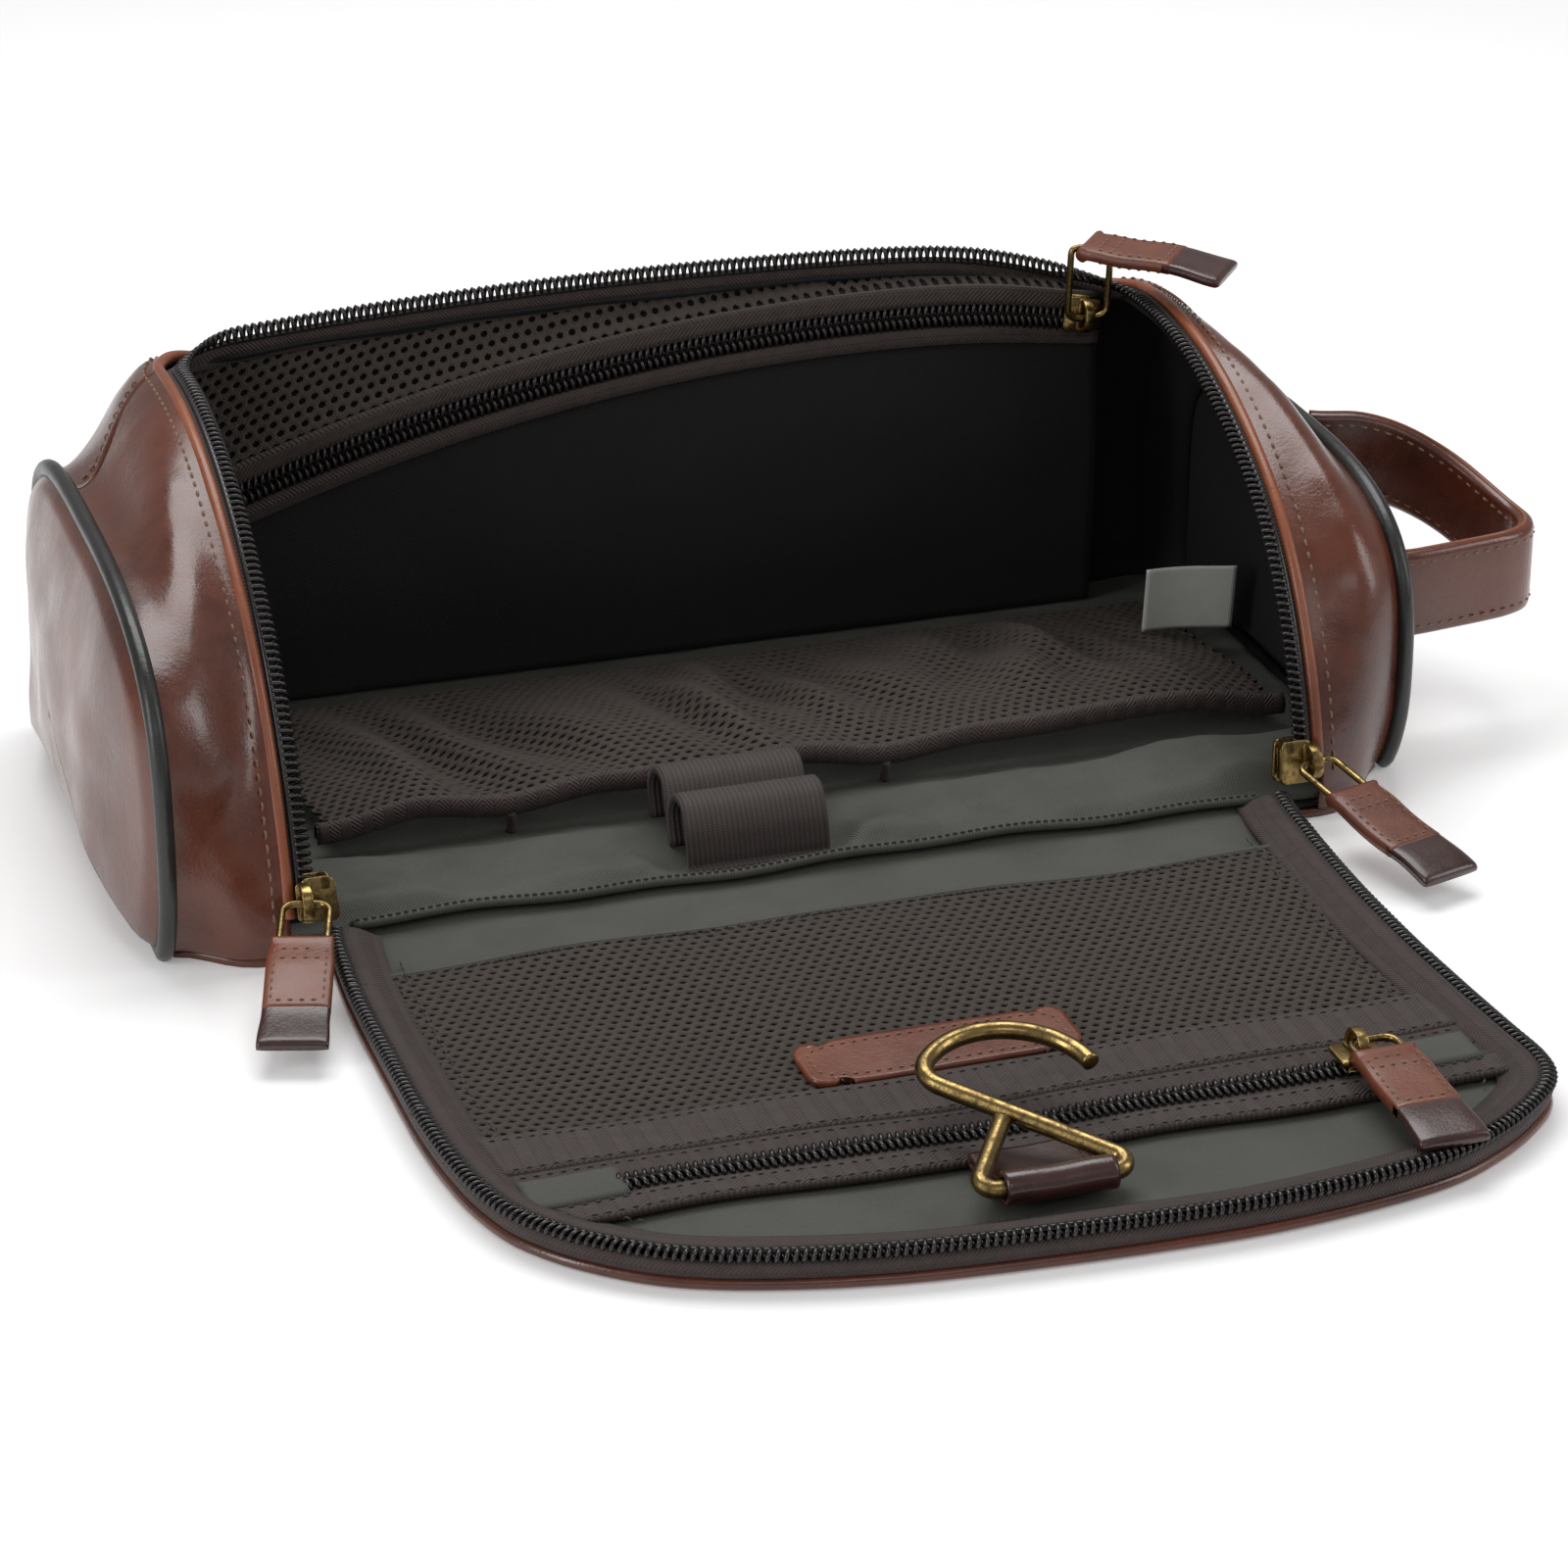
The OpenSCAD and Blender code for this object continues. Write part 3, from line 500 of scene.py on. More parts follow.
def leather(name, base, deep, light, roughness=(0.22, 0.42), grain=0.035, coat=0.35):
    f = Finish(name)
    cloud = f.spread(f.speckle(45, 4), 0.36, 0.66)
    streak = f.spread(f.speckle(6, 5, 0.65), 0.35, 0.75)
    pores = f.cells(0.75)
    colour = f.mix(cloud, base, deep)
    colour = f.mix(f.math("MULTIPLY", streak, 0.3), colour, light)
    colour = f.mix(f.spread(pores, 0.0, 0.35, 0.25, 0.0), colour, deep)
    gloss = f.spread(f.speckle(12, 3), 0.3, 0.7, *roughness)
    fine = f.bump(f.math("ADD", f.math("MULTIPLY", pores, 0.8), f.speckle(0.35, 2)), grain)
    creases = f.bump(f.speckle(7, 5, 0.7), 0.18, fine)
    return f.done(colour, gloss, creases, Coat_Weight=coat, Coat_Roughness=0.16, Specular_IOR_Level=0.5)


def twill(name, base, deep, pitch=0.62, sheen=0.25, roughness=0.62):
    f = Finish(name)
    across, along = f.weave()
    rib = f.stripes(f.math("ADD", across, f.math("MULTIPLY", along, 0.62)), pitch)
    yarn = f.stripes(f.math("SUBTRACT", along, f.math("MULTIPLY", across, 1.3)), pitch * 1.6)
    height = f.math("ADD", rib, f.math("MULTIPLY", yarn, 0.4))
    colour = f.dyed(height, 0.0, 1.3, 0.55, 18, base, deep, 0.45)
    normal = f.bump(f.speckle(9, 4), 0.25, f.bump(height, 0.07))
    return f.done(colour, roughness, normal, Sheen_Weight=sheen, Sheen_Roughness=0.4)


def herringbone(name, base, deep, column=2.4, pitch=0.9):
    f = Finish(name)
    across, along = f.weave()
    zigzag = f.math("PINGPONG", across, column)
    rib = f.stripes(f.math("ADD", along, f.math("MULTIPLY", zigzag, 0.9)), pitch)
    valley = f.spread(f.math("ABSOLUTE", f.math("SUBTRACT", zigzag, column / 2)), column * 0.4, column * 0.5)
    height = f.math("SUBTRACT", rib, f.math("MULTIPLY", valley, 0.5))
    colour = f.dyed(height, -0.3, 1.0, 0.75, 3, base, deep, 0.3)
    return f.done(colour, 0.7, f.bump(height, 0.16), Sheen_Weight=0.05, Sheen_Roughness=0.5)


def knit(name, base, deep):
    f = Finish(name)
    across, along = f.weave()
    loops = f.math("MULTIPLY", f.stripes(f.math("ADD", across, f.math("MULTIPLY", along, 0.8)), 0.62),
                   f.stripes(f.math("SUBTRACT", across, f.math("MULTIPLY", along, 0.8)), 0.62))
    colour = f.dyed(loops, 0.0, 0.6, 0.7, 2.5, base, deep, 0.35)
    return f.done(colour, 0.72, f.bump(loops, 0.14), Sheen_Weight=0.05, Sheen_Roughness=0.5)


def ribbed(name, base, deep, pitch=1.1):
    f = Finish(name)
    across, along = f.weave()
    rib = f.stripes(along, pitch)
    thread = f.stripes(across, 0.5)
    height = f.math("ADD", rib, f.math("MULTIPLY", thread, 0.3))
    colour = f.mix(f.spread(height, 0.0, 1.2, 0.7, 0.0), f.mix(f.speckle(4), base, deep),
                   tuple(0.3 * c for c in deep))
    return f.done(colour, 0.68, f.bump(height, 0.15), Sheen_Weight=0.05, Sheen_Roughness=0.5)


def nylon(name, base):
    f = Finish(name)
    colour = f.mix(f.spread(f.speckle(1.2), 0.3, 0.7), base, tuple(1.8 * c for c in base))
    return f.done(colour, f.spread(f.speckle(0.8), 0.3, 0.7, 0.22, 0.38), Specular_IOR_Level=0.6)


def old_brass(name):
    f = Finish(name)
    patina = f.spread(f.speckle(2.2, 5, 0.7), 0.42, 0.66)
    colour = f.mix(patina, (0.34, 0.235, 0.09), (0.085, 0.06, 0.027))
    return f.done(colour, f.spread(patina, 0, 1, 0.24, 0.44), f.bump(f.speckle(0.6, 4), 0.03), Metallic=1.0)


def thread(name, base):
    f = Finish(name)
    twist = f.stripes(f.speckle(0.5), 0.2)
    return f.done(f.mix(twist, base, tuple(0.6 * c for c in base)), 0.65, f.bump(twist, 0.04),
                  Sheen_Weight=0.3)


def ribbon(name):
    f = Finish(name)
    across, along = f.weave()
    rib = f.stripes(across, 0.45)
    return f.done(f.mix(f.speckle(5), (0.62, 0.62, 0.58), (0.5, 0.5, 0.47)), 0.5, f.bump(rib, 0.04))


CHESTNUT = leather("chestnut_leather", (0.105, 0.024, 0.0095), (0.045, 0.0105, 0.006),
                   (0.19, 0.05, 0.02), (0.2, 0.38))
CHESTNUT_LIGHT = leather("rolled_edge_leather", (0.25, 0.066, 0.022), (0.14, 0.034, 0.013),
                         (0.33, 0.105, 0.042), (0.3, 0.46), 0.03, 0.2)
TAB_LEATHER = leather("tab_leather", (0.17, 0.044, 0.018), (0.09, 0.023, 0.011), (0.27, 0.085, 0.038),
                      (0.3, 0.5), 0.04, 0.15)
DARK_LEATHER = leather("dark_leather", (0.042, 0.0115, 0.0075), (0.02, 0.006, 0.0045), (0.085, 0.027, 0.018),
                       (0.2, 0.4), 0.03, 0.35)
PIPING = leather("piping_leather", (0.012, 0.0125, 0.011), (0.006, 0.006, 0.0055), (0.03, 0.03, 0.027),
                 (0.28, 0.42), 0.03, 0.1)
LINING = twill("lining_twill", (0.068, 0.07, 0.055), (0.045, 0.046, 0.036), sheen=0.1)
# near-black copy of the lining twill for the inner walls and the floor underlay: painted shade for the dark
# inside of the bag
LINING_PAINTED_SHADE = twill("painted_shade_twill", (0.003, 0.0027, 0.0024), (0.0015, 0.0013, 0.0012), sheen=0.0,
                    roughness=0.9)
# pocket cloth darkened to near black: painted shade on the back pocket and behind the back net
POCKET_TWILL_PAINTED_SHADE = twill("pocket_twill_painted_shade", (0.0035, 0.0026, 0.0025), (0.002, 0.0015, 0.0014), 0.7, 0.0, 0.9)
TAPE = herringbone("zip_tape", (0.06, 0.035, 0.031), (0.037, 0.022, 0.0195))
WEBBING = herringbone("flat_webbing", (0.066, 0.043, 0.036), (0.042, 0.027, 0.023), 3.1, 1.1)
ELASTIC = ribbed("elastic_webbing", (0.066, 0.047, 0.041), (0.04, 0.028, 0.025))
KNIT = knit("knitted_mesh", (0.07, 0.047, 0.033), (0.042, 0.028, 0.02))
COIL = nylon("zip_coil_nylon", (0.0075, 0.0055, 0.0052))
BRASS = old_brass("antique_brass")
THREAD = thread("tan_thread", (0.24, 0.125, 0.06))
DARK_THREAD = thread("dark_thread", (0.016, 0.012, 0.011))
LABEL = ribbon("label_ribbon")

# ---- helpers that turn grids into pieces ----


def panel(name, p, material, slot, body, stands_for=(), up=0.0, down=1.0, flat=None):
    return slab(Shape(), p, up, down, flat).make(name, material, slot, body, *stands_for)


def cloth(piece):
    """Returns the piece unchanged. Tapes under 10 mm wide are too narrow to count as
    one.
    """
    return piece


def cloth_panel(name, p, material, slot, body, stands_for=(), up=0.0, down=1.0, flat=None):
    piece = panel(name, p, material, slot, body, stands_for, up, down, flat)
    return cloth(piece)


# ---- leather body ----

EDGE_CORNER = 18.0
EDGE_TOP = RIM_LEN + 6.5    # the leather stops this far along the section at the top, behind the zip


def share_at(s):
    """Share of the section at a distance s from the hinge."""
    return np.where(s < RIM_LEN, 0.6 * s / RIM_LEN, 0.6 + 0.4 * (s - RIM_LEN) / 38)


def edge_t(x):
    """Where the back panel's front edge runs: along the top, and round a corner into each band."""
    past = np.maximum(np.abs(x) - (BAND_X - EDGE_CORNER), 0)
    return share_at(EDGE_TOP - EDGE_CORNER + np.sqrt(np.maximum(EDGE_CORNER ** 2 - past ** 2, 0)))


BAND_T = float(edge_t(np.array(BAND_X))) - 0.002


def dimple(p, size, deep, seed):
    return p + grid_normals(p) * (deep * wave(p, size, seed))[..., None]


def leather_grid(xs, ts, seed, deep=0.9):
    p = skin(xs, ts)
    calm = ramp((SEAM_X - np.abs(xs)) / 12) * ramp((p[..., 2] - 2) / 9) * ramp((np.abs(xs) - BAND_X) / 6)
    calm = np.maximum(calm, 0.35 * ramp((p[..., 2] - 2) / 9) * (ts > 0.66))
    n = grid_normals(p)
    creases = wave(p * np.array([1.0, 1.0, 0.55]), 26, seed) * deep + wave(p, 9, seed + 5) * deep * 0.28
    return p + n * (creases * calm)[..., None]


for side, word in SIDES:
    xs = side * np.linspace(BAND_X, SEAM_X + 0.4, 26)[::side]
    ts = np.linspace(0.0, BAND_T, 90)
    tt, xx = np.meshgrid(ts, xs, indexing="ij")
    band = leather_grid(xx, tt, 3.0 * side)
    # the band turns down to the base below the start of the opening
    foot = [band[0] * [1, 1, 1 - u] + np.array([0, 0.9, 1.6]) * u for u in (1.0, 0.66, 0.33)]
    band = np.concatenate([foot, band])
    panel("band_" + word, band, CHESTNUT, "leather", "root", ("side_band_" + word,), 0.0, 1.7)

outer_xs = np.concatenate([np.linspace(94, BAND_X, 18), np.linspace(BAND_X + 0.2, SEAM_X + 0.4, 22)])
xs = np.concatenate([-outer_xs[::-1], np.linspace(-92, 92, 93), outer_xs])
share = np.linspace(0, 1, 74)[:, None]
first = np.where(np.abs(xs) > BAND_X, BAND_T + 0.004, edge_t(np.minimum(np.abs(xs), BAND_X)))[None]
tt = lerp(first, 1.0, share)
xx = np.broadcast_to(xs[None], tt.shape)
back = leather_grid(xx, tt, 9.0, 1.1)
panel("back_wall", back, CHESTNUT, "leather", "root", ("back_panel",), 0.0, 1.7)


def footprint(xs, rows, gap, z):
    """A level grid inside the foot of the body, gap millimetres in from the walls."""
    front, rear = skin(xs, 0.0)[:, 1] + gap, skin(xs, 1.0)[:, 1] - gap
    yy = lerp(front[None], rear[None], np.linspace(0, 1, rows)[:, None])
    xx = np.broadcast_to(xs[None], yy.shape)
    return xyz(xx, yy, z + 0.0 * xx)


low = footprint(np.linspace(-SEAM_X + 0.6, SEAM_X - 0.6, 90), 60, 0.9, 1.9)
panel("base", low, CHESTNUT, "leather", "root", ("base_panel",), 0.0, 1.7)

loop_t = np.linspace(0, 1, 120)
loop_yz = end_section(loop_t)
loop_yz[:, 1] = np.maximum(loop_yz[:, 1], 2.1)
floor_run = np.linspace(loop_yz[-1], loop_yz[0], 34)[1:-1]
loop_yz = np.concatenate([loop_yz, floor_run])


def end_loop(x, shrink=0.0, low=2.1):
    """The piped outline of one end, drawn in by shrink millimetres."""
    out = unit(loop_yz - MID)
    q = loop_yz - out * shrink
    q[:, 1] = np.maximum(q[:, 1], low)
    return sag(xyz(np.full(len(q), x), q[:, 0], q[:, 1]))


for side, word in SIDES:
    rows = []
    for s in np.concatenate([np.linspace(1, 0.9, 6), np.linspace(0.86, 0.001, 30)]):
        ring = end_loop(side * SEAM_X, 2.3, 3.0)
        ring[:, 0] = 0
        q = np.array([0, MID[0], MID[1]]) + (ring - np.array([0, MID[0], MID[1]])) * s
        puff = (END_BULGE + 1.6) * (1 - s ** 2.2) + 1.2 * ramp((1 - s) / 0.06)
        q[:, 0] = side * (SEAM_X + 1.0 + puff)
        rows.append(q)
    face = np.array(rows)
    face = np.concatenate([face, face[:, :1]], 1)
    if side < 0:
        face = face[:, ::-1]
    ripple = (wave(face * np.array([1, 1, 0.6]), 30, 4 + side) * 1.6 + wave(face, 12, 8 + side) * 0.4)
    middle = 1 - np.linspace(1, 0, len(rows))[:, None] ** 6
    face[..., 0] += side * ripple * middle * 0.8
    # the left end slumps at its foot
    foot = ramp((34 - face[..., 2]) / 30) * middle
    face[..., 0] += side * foot * (2.2 if side < 0 else 1.0)
    limit = SEAM_X + 2.6 + END_BULGE + 6
    face[..., 0] = side * np.minimum(np.abs(face[..., 0]), limit)
    slab(Shape(), face, 0.0, 1.7).make("end_" + word, CHESTNUT, "leather", "root", "end_panel_" + word)
    cord = end_loop(side * (SEAM_X + 1.4), 0.0, 2.0)
    tube(Shape(), cord, 1.95, 14, closed=True).make("piping_" + word, PIPING, "piping", "root",
                                                    "piping_" + word)
    stitches(Shape(), end_loop(side * (SEAM_X + 0.9), 1.6, 3.4)[:120], [side, 0, 0.0], 3.0, 1.7, 0.22).make(
        "piping_stitches_" + word, DARK_THREAD, "piping", "root")

# ---- main zip round the opening ----


def rim_frame():
    """Middle of the coil round the opening, its reach (towards the other coil) and its outer side."""
    place, reach, up = [], [], []
    s = np.linspace(4.5, RIM_LEN - 17, 60)
    for side, order in ((-1, 1), (1, -1)):
        angle = RIM_START - np.degrees(s / RIM_R)
        y, z = rim_yz(angle)
        block = xyz(side * (SPLIT_X + 2), y, z)
        radial = xyz(0 * s, np.cos(np.radians(angle)), np.sin(np.radians(angle)))
        if side < 0:
            place.append(block), reach.append(np.tile([1.0, 0, 0], (60, 1))), up.append(radial)
            x = np.linspace(-93, 93, 80)
            top_y, top_z = rim_yz(RIM_START - RIM_SWEEP)
            place.append(xyz(x, top_y + 0.2, top_z + 1.9 + bow(x)))
            reach.append(np.tile([0, 0, 1.0], (80, 1)))
            up.append(np.tile([0, -1.0, 0], (80, 1)))
        else:
            place.append(block[::-1]), reach.append(np.tile([-1.0, 0, 0], (60, 1))), up.append(radial[::-1])
    place, reach, up = np.concatenate(place), np.concatenate(reach), np.concatenate(up)
    # the outer side turns from outward along the sides to forward at the top
    both = np.concatenate([sag(place), reach, up], 1)
    dense = smooth_block(both, 560)
    return dense[:, :3], unit(dense[:, 3:6]), unit(dense[:, 6:9])


def smooth_block(rows, count):
    """A smooth curve through rows of position and directions, evenly spaced by position."""
    ends = np.vstack([2 * rows[0] - rows[1], rows, 2 * rows[-1] - rows[-2]])
    out = []
    for i in range(1, len(ends) - 2):
        a, b, c, d = ends[i - 1], ends[i], ends[i + 1], ends[i + 2]
        steps = 12 if np.linalg.norm(c[:3] - b[:3]) > 6 else 3
        for u in np.linspace(0, 1, steps, endpoint=False):
            if steps == 12:
                m0, m1 = unit(b[:3] - a[:3]) * 24, unit(d[:3] - c[:3]) * 24
                h = np.array([2 * u ** 3 - 3 * u ** 2 + 1, u ** 3 - 2 * u ** 2 + u,
                              -2 * u ** 3 + 3 * u ** 2, u ** 3 - u ** 2])
                point = h[0] * b[:3] + h[1] * m0 + h[2] * c[:3] + h[3] * m1
            else:
                point = lerp(b[:3], c[:3], u)
            out.append(np.concatenate([point, lerp(b[3:], c[3:], u)]))
    out.append(rows[-1])
    out = np.array(out)
    far = lengths(out[:, :3])
    at = np.linspace(0, far[-1], count)
    return np.stack([np.interp(at, far, out[:, k]) for k in range(9)], 1)


rim, rim_reach, rim_up = rim_frame()
coil(Shape(), rim, rim_reach, rim_up, 1.5, 0.8, 0.5).make("rim_teeth", COIL, "zip_coil", "root",
                                                          "body_zip_coil")
tube(Shape(), rim - rim_reach * 1.5, 0.72, 6, side=rim_reach, up=rim_up).make(
    "rim_teeth_cord", COIL, "zip_coil", "root")

# more of the tape shows along the top than down the sides
wide = lerp(3.2, 5.0, np.abs(rim_reach[:, 2]))[None]
across = 1.6 + np.array([0, 0.16, 0.36, 0.56, 0.76, 1.0])[:, None] * wide
tape = rim[None] - rim_reach[None] * across[..., None] - rim_up[None] * (0.3 + 0.08 * across[..., None])
flat = plan(across, lengths(rim)[None])
cloth_panel("rim_tape", tape[:, ::-1], TAPE, "zip_tape", "root", ("body_zip_tape",), 0.45, 0.45,
            flat[:, ::-1])

# rolled leather edge and its stitch line, just outside the tape
edge_x, edge_s = [], []
for side in (-1, 1):
    s = np.linspace(3, EDGE_TOP - EDGE_CORNER, 60)
    edge_x.append(np.full_like(s, side * BAND_X)), edge_s.append(s)
a = np.linspace(0, 90, 14)[1:]
r = EDGE_CORNER
turn_x = BAND_X - r + r * np.cos(np.radians(a))
turn_s = EDGE_TOP - r + r * np.sin(np.radians(a))
top_x = np.linspace(-(BAND_X - r), BAND_X - r, 120)[1:-1]
line_x = np.concatenate([edge_x[0], -turn_x, top_x, turn_x[::-1], edge_x[1][::-1]])
line_s = np.concatenate([edge_s[0], turn_s, np.full_like(top_x, EDGE_TOP), turn_s[::-1], edge_s[1][::-1]])
line_t = share_at(line_s)


def outward(x, t):
    p = skin(x, t)
    return unit(np.cross(skin(x + 0.5, t) - p, skin(x, t + 0.004) - p))


edge = skin(line_x, line_t, 0.9)
edge = even(edge, 520)
tube(Shape(), edge, 1.35 + 0.12 * wave(edge, 12, 2), 12).make("rolled_edge", CHESTNUT_LIGHT, "leather",
                                                              "root")

out_x = line_x - np.clip(line_x, -(BAND_X - r), BAND_X - r)
out_s = line_s - np.minimum(line_s, EDGE_TOP - r)
size = np.maximum(np.hypot(out_x, out_s), 1e-6)
stitch_x, stitch_t = line_x + 3.2 * out_x / size, share_at(line_s + 3.2 * out_s / size)
stitches(Shape(), skin(stitch_x, stitch_t, -0.15), outward(stitch_x, stitch_t), 2.9, 1.9, 0.3).make(
    "edge_stitches", THREAD, "leather", "root")

# T seam between each band and the back panel, with a stitch line on its upper side
shape = Shape()
for side in (-1, 1):
    x = side * np.linspace(BAND_X + 4.5, SEAM_X - 1, 40)
    t = np.full_like(x, BAND_T + 0.016)
    stitches(shape, skin(x, t, -0.12), outward(x, t), 2.7, 1.8, 0.27)
shape.make("seam_stitches", THREAD, "leather", "root")
for side, word in SIDES:
    x = side * np.linspace(BAND_X, SEAM_X, 40)
    tube(Shape(), skin(x, np.full_like(x, BAND_T + 0.004), 0.55), 0.75, 8).make(
        "seam_fold_" + word, CHESTNUT, "leather", "root")

# ---- lining and pockets inside ----

# the inner bands and end walls are drawn in the near-black twill: painted shade
for side, word in SIDES:
    xs = side * np.linspace(109, 133, 14)[::side]
    tt, xx = np.meshgrid(np.linspace(0.0, 1.0, 90), xs, indexing="ij")
    inner = skin(xx, tt, 3.2)
    inner[..., 2] = np.maximum(inner[..., 2], 4.2)
    cloth_panel("inner_band_" + word, dimple(inner, 14, 0.5, 3 + side), LINING_PAINTED_SHADE, "twill", "root", (),
                0.0, 0.8)
    wall = []
    for s in np.linspace(1, 0.001, 20):
        ring = end_loop(side * (SEAM_X - 3.2), 5.2, 4.4)
        centre = np.array([ring[0, 0], MID[0], MID[1]])
        wall.append(centre + (ring - centre) * s)
    wall = np.array(wall)
    wall = np.concatenate([wall, wall[:, :1]], 1)
    if side > 0:
        wall = wall[:, ::-1]
    piece = panel("inner_end_" + word, dimple(wall, 18, 0.7, side), LINING_PAINTED_SHADE, "twill", "root",
                  ("lining_" + word,), 0.0, 0.8)
    cloth(piece)

# the inner back wall is drawn in the near-black twill: painted shade
xs = np.linspace(-124, 124, 90)
tt, xx = np.meshgrid(np.linspace(0.615, 0.975, 50), xs, indexing="ij")
wall = skin(xx, tt, 3.6)
wall[..., 2] = np.maximum(wall[..., 2], 4.4)
cloth_panel("inner_back", dimple(wall, 22, 0.8, 6), LINING_PAINTED_SHADE, "twill", "root", ("lining_back",), 0.0, 0.8)

# the floor lining bags a little, more towards the front corners
# a near-black twill sheet under the floor lining: painted shade
under = footprint(np.linspace(-SEAM_X + 1.4, SEAM_X - 1.4, 80), 40, 1.8, 3.1)
cloth_panel("floor_underlay", under, LINING_PAINTED_SHADE, "twill", "root", (), 0.0, 0.7)
level = footprint(np.linspace(-130, 130, 150), 90, 3.0, 0.0)
xx, yy = level[..., 0], level[..., 1]
front = ramp((-30 - yy) / 10) * ramp((yy + 63) / 8)
z = 4.6 + 0 * xx
pull = xyz(xx * 1.0, yy * 1.6 + 0.22 * xx, 0 * xx)
z += front * (2.6 + 2.4 * wave(pull, 30, 1.0) + 1.3 * wave(pull, 13, 2.0) + 0.45 * wave(pull, 6, 3.0))
z += front * 3.0 * ramp((np.abs(xx + 3) - 60) / 45)
z += 0.5 * wave(pull, 12, 5.0) * (1 - front)
under_loops = ramp((26 - np.abs(xx + 12)) / 9) * front
z = lerp(z, 4.4, under_loops)
z = np.minimum(np.maximum(z, 3.2), 12.2)
floor_cloth = xyz(xx, yy, z)
cloth_panel("floor_lining", floor_cloth, LINING, "twill", "root", ("lining_floor",), 0.0, 1.0,
            flat=floor_cloth[..., :2])


def seam_z(x):
    return 6.6 + 0.5 * np.sin(x / 17.0) + 0.35 * np.sin(x / 6.3 + 1)


xs = np.linspace(-100, 99, 150)
rows = []
for dy, dz in ((5.6, -1.6), (4.2, 0.2), (2.6, 1.5), (1.2, 2.3), (0.2, 2.5), (-0.5, 2.0), (-0.6, 1.1),
               (-0.2, 0.6)):
    rows.append(xyz(xs, HINGE[0] + dy, seam_z(xs) + dz - 1.2))
fold = np.array(rows)[::-1]
cloth_panel("hinge_seam", fold, LINING, "twill", "root", ("hinge_binding",), 0.0, 0.7,
            flat=np.stack([fold[..., 0], fold[..., 1]], -1))
shape = Shape()
line = xyz(xs, HINGE[0] + 0.3, seam_z(xs) + 1.4)
stitches(shape, line, [0, -0.3, 0.95], 1.7, 1.5, 0.3, 0.1)
shape.make("hinge_stitches", DARK_THREAD, "twill", "root")

# floor pocket: mesh gathered into a bound edge, tacked down in two places
BIND_Y, BIND_Z = -27.0, 13.0
TACKS = (-57.0, 27.0)


def bind_z(x):
    d = np.min([np.abs(x - k) for k in (-98.0, *TACKS, 120.0)], axis=0)
    return BIND_Z - 2.6 + 3.0 * ramp(d / 22) + 0.5 * np.sin(x / 11)


def floor_net_at(u, v):
    """u runs along the binding and v back from it. The net bulges between its tacks and is gathered."""
    x = u + 1.2 * np.sin(v / 9 + u / 21)
    y = BIND_Y + 1.0 + v
    lift = np.sin(np.pi * np.clip(v / 71, 0, 1))
    z = lerp(bind_z(x), 6.2, ramp(v / 71) ** 0.8)
    pockets = np.min([np.abs(x - k) for k in (-98.0, *TACKS, 120.0)], axis=0)
    gather = 0.6 + 0.6 * np.sin(x / 19 + 0.7) * np.sin(v / 26 + x / 33)
    z = z + lift * (3.2 * np.sin(pockets / 42 * np.pi / 2)
                    + gather * (2.3 * np.sin(x / 5.1 + 2.2 * np.sin(v / 23 + x / 37) + 1.2 * np.sin(x / 11))
                                + 1.1 * np.sin(x / 2.7 + v / 9 + 2 * np.sin(x / 17))))
    return xyz(x, y, np.maximum(z, 5.6))


piece = net(Shape(), floor_net_at, -97.5, 119.5, 0, 70).make(
    "floor_net", KNIT, "brown_mesh", "root", "floor_pocket_mesh")
cloth(piece)

xs = np.linspace(-99, 121, 160)
rows = []
for dy, dz in ((1.3, -1.7), (1.5, 0.2), (0.9, 1.6), (0, 2.1), (-0.9, 1.6), (-1.4, 0.2), (-1.2, -2.0)):
    rows.append(xyz(xs, BIND_Y + dy + 0.4 * np.sin(xs / 15), bind_z(xs) + dz))
band = np.array(rows)
cloth_panel("floor_net_binding", band, TAPE, "zip_tape", "root", ("floor_pocket_binding",), 0.35, 0.35)
shape = Shape()
for k in TACKS:
    line = np.array([[k, BIND_Y - 1.2, bind_z(np.array([k]))[0] - 1.5], [k + 0.3, BIND_Y - 1.0, 7.5],
                     [k, BIND_Y - 0.6, 4.9]])
    tube(shape, smooth_path(line, 10), 1.1, 8)
shape.make("pocket_tacks", TAPE, "zip_tape", "root")

# two loops of elastic webbing, sewn to the floor between them
LOOP_YS = (-51.2, -36.7)
path = [(-60.6, 5.3)]
for y in LOOP_YS:
    path += [(y - 6.9, 5.6), (y - 7.0, 8.5), (y - 6.4, 13.5), (y - 3.6, 17.4), (y, 18.3), (y + 3.6, 17.3),
             (y + 6.3, 13.2), (y + 6.5, 8.5), (y + 6.1, 5.6)]
path += [(-28.6, 5.2)]
outline = smooth_path([(0, a, b) for a, b in path], 110)
xs = np.linspace(-27, 4, 24)
grid = np.array([[[x + 0.25 * np.sin(b / 3), a, max(b, 5.2)] for x in xs] for _, a, b in outline])
far = lengths(outline)
flat = plan(far[:, None], xs[None])
cloth_panel("elastic_loops", grid, ELASTIC, "webbing", "root", ("elastic_loops",), 0.75, 0.75, flat)
shape = Shape()
for x in (-25.6, 2.6):
    line = np.array([[x, y, 5.95] for y in np.linspace(-60, -57.9, 3)])
    stitches(shape, line, [0, 0, 1.0], 1.9, 1.2, 0.22)
for y in (-58.6, -44.1, -29.9):
    line = np.array([[x, y, 6.1] for x in np.linspace(-26.5, 3.5, 20)])
    stitches(shape, line, [0, 0, 1.0], 2.0, 1.3, 0.22)
shape.make("loop_stitches", DARK_THREAD, "webbing", "root")


# zipped pocket on the back wall
def zip_z(x, off=0.0):
    return BACK_ZIP_TOP - BACK_ZIP_R + np.sqrt((BACK_ZIP_R + off) ** 2 - (x - BACK_ZIP_X) ** 2)


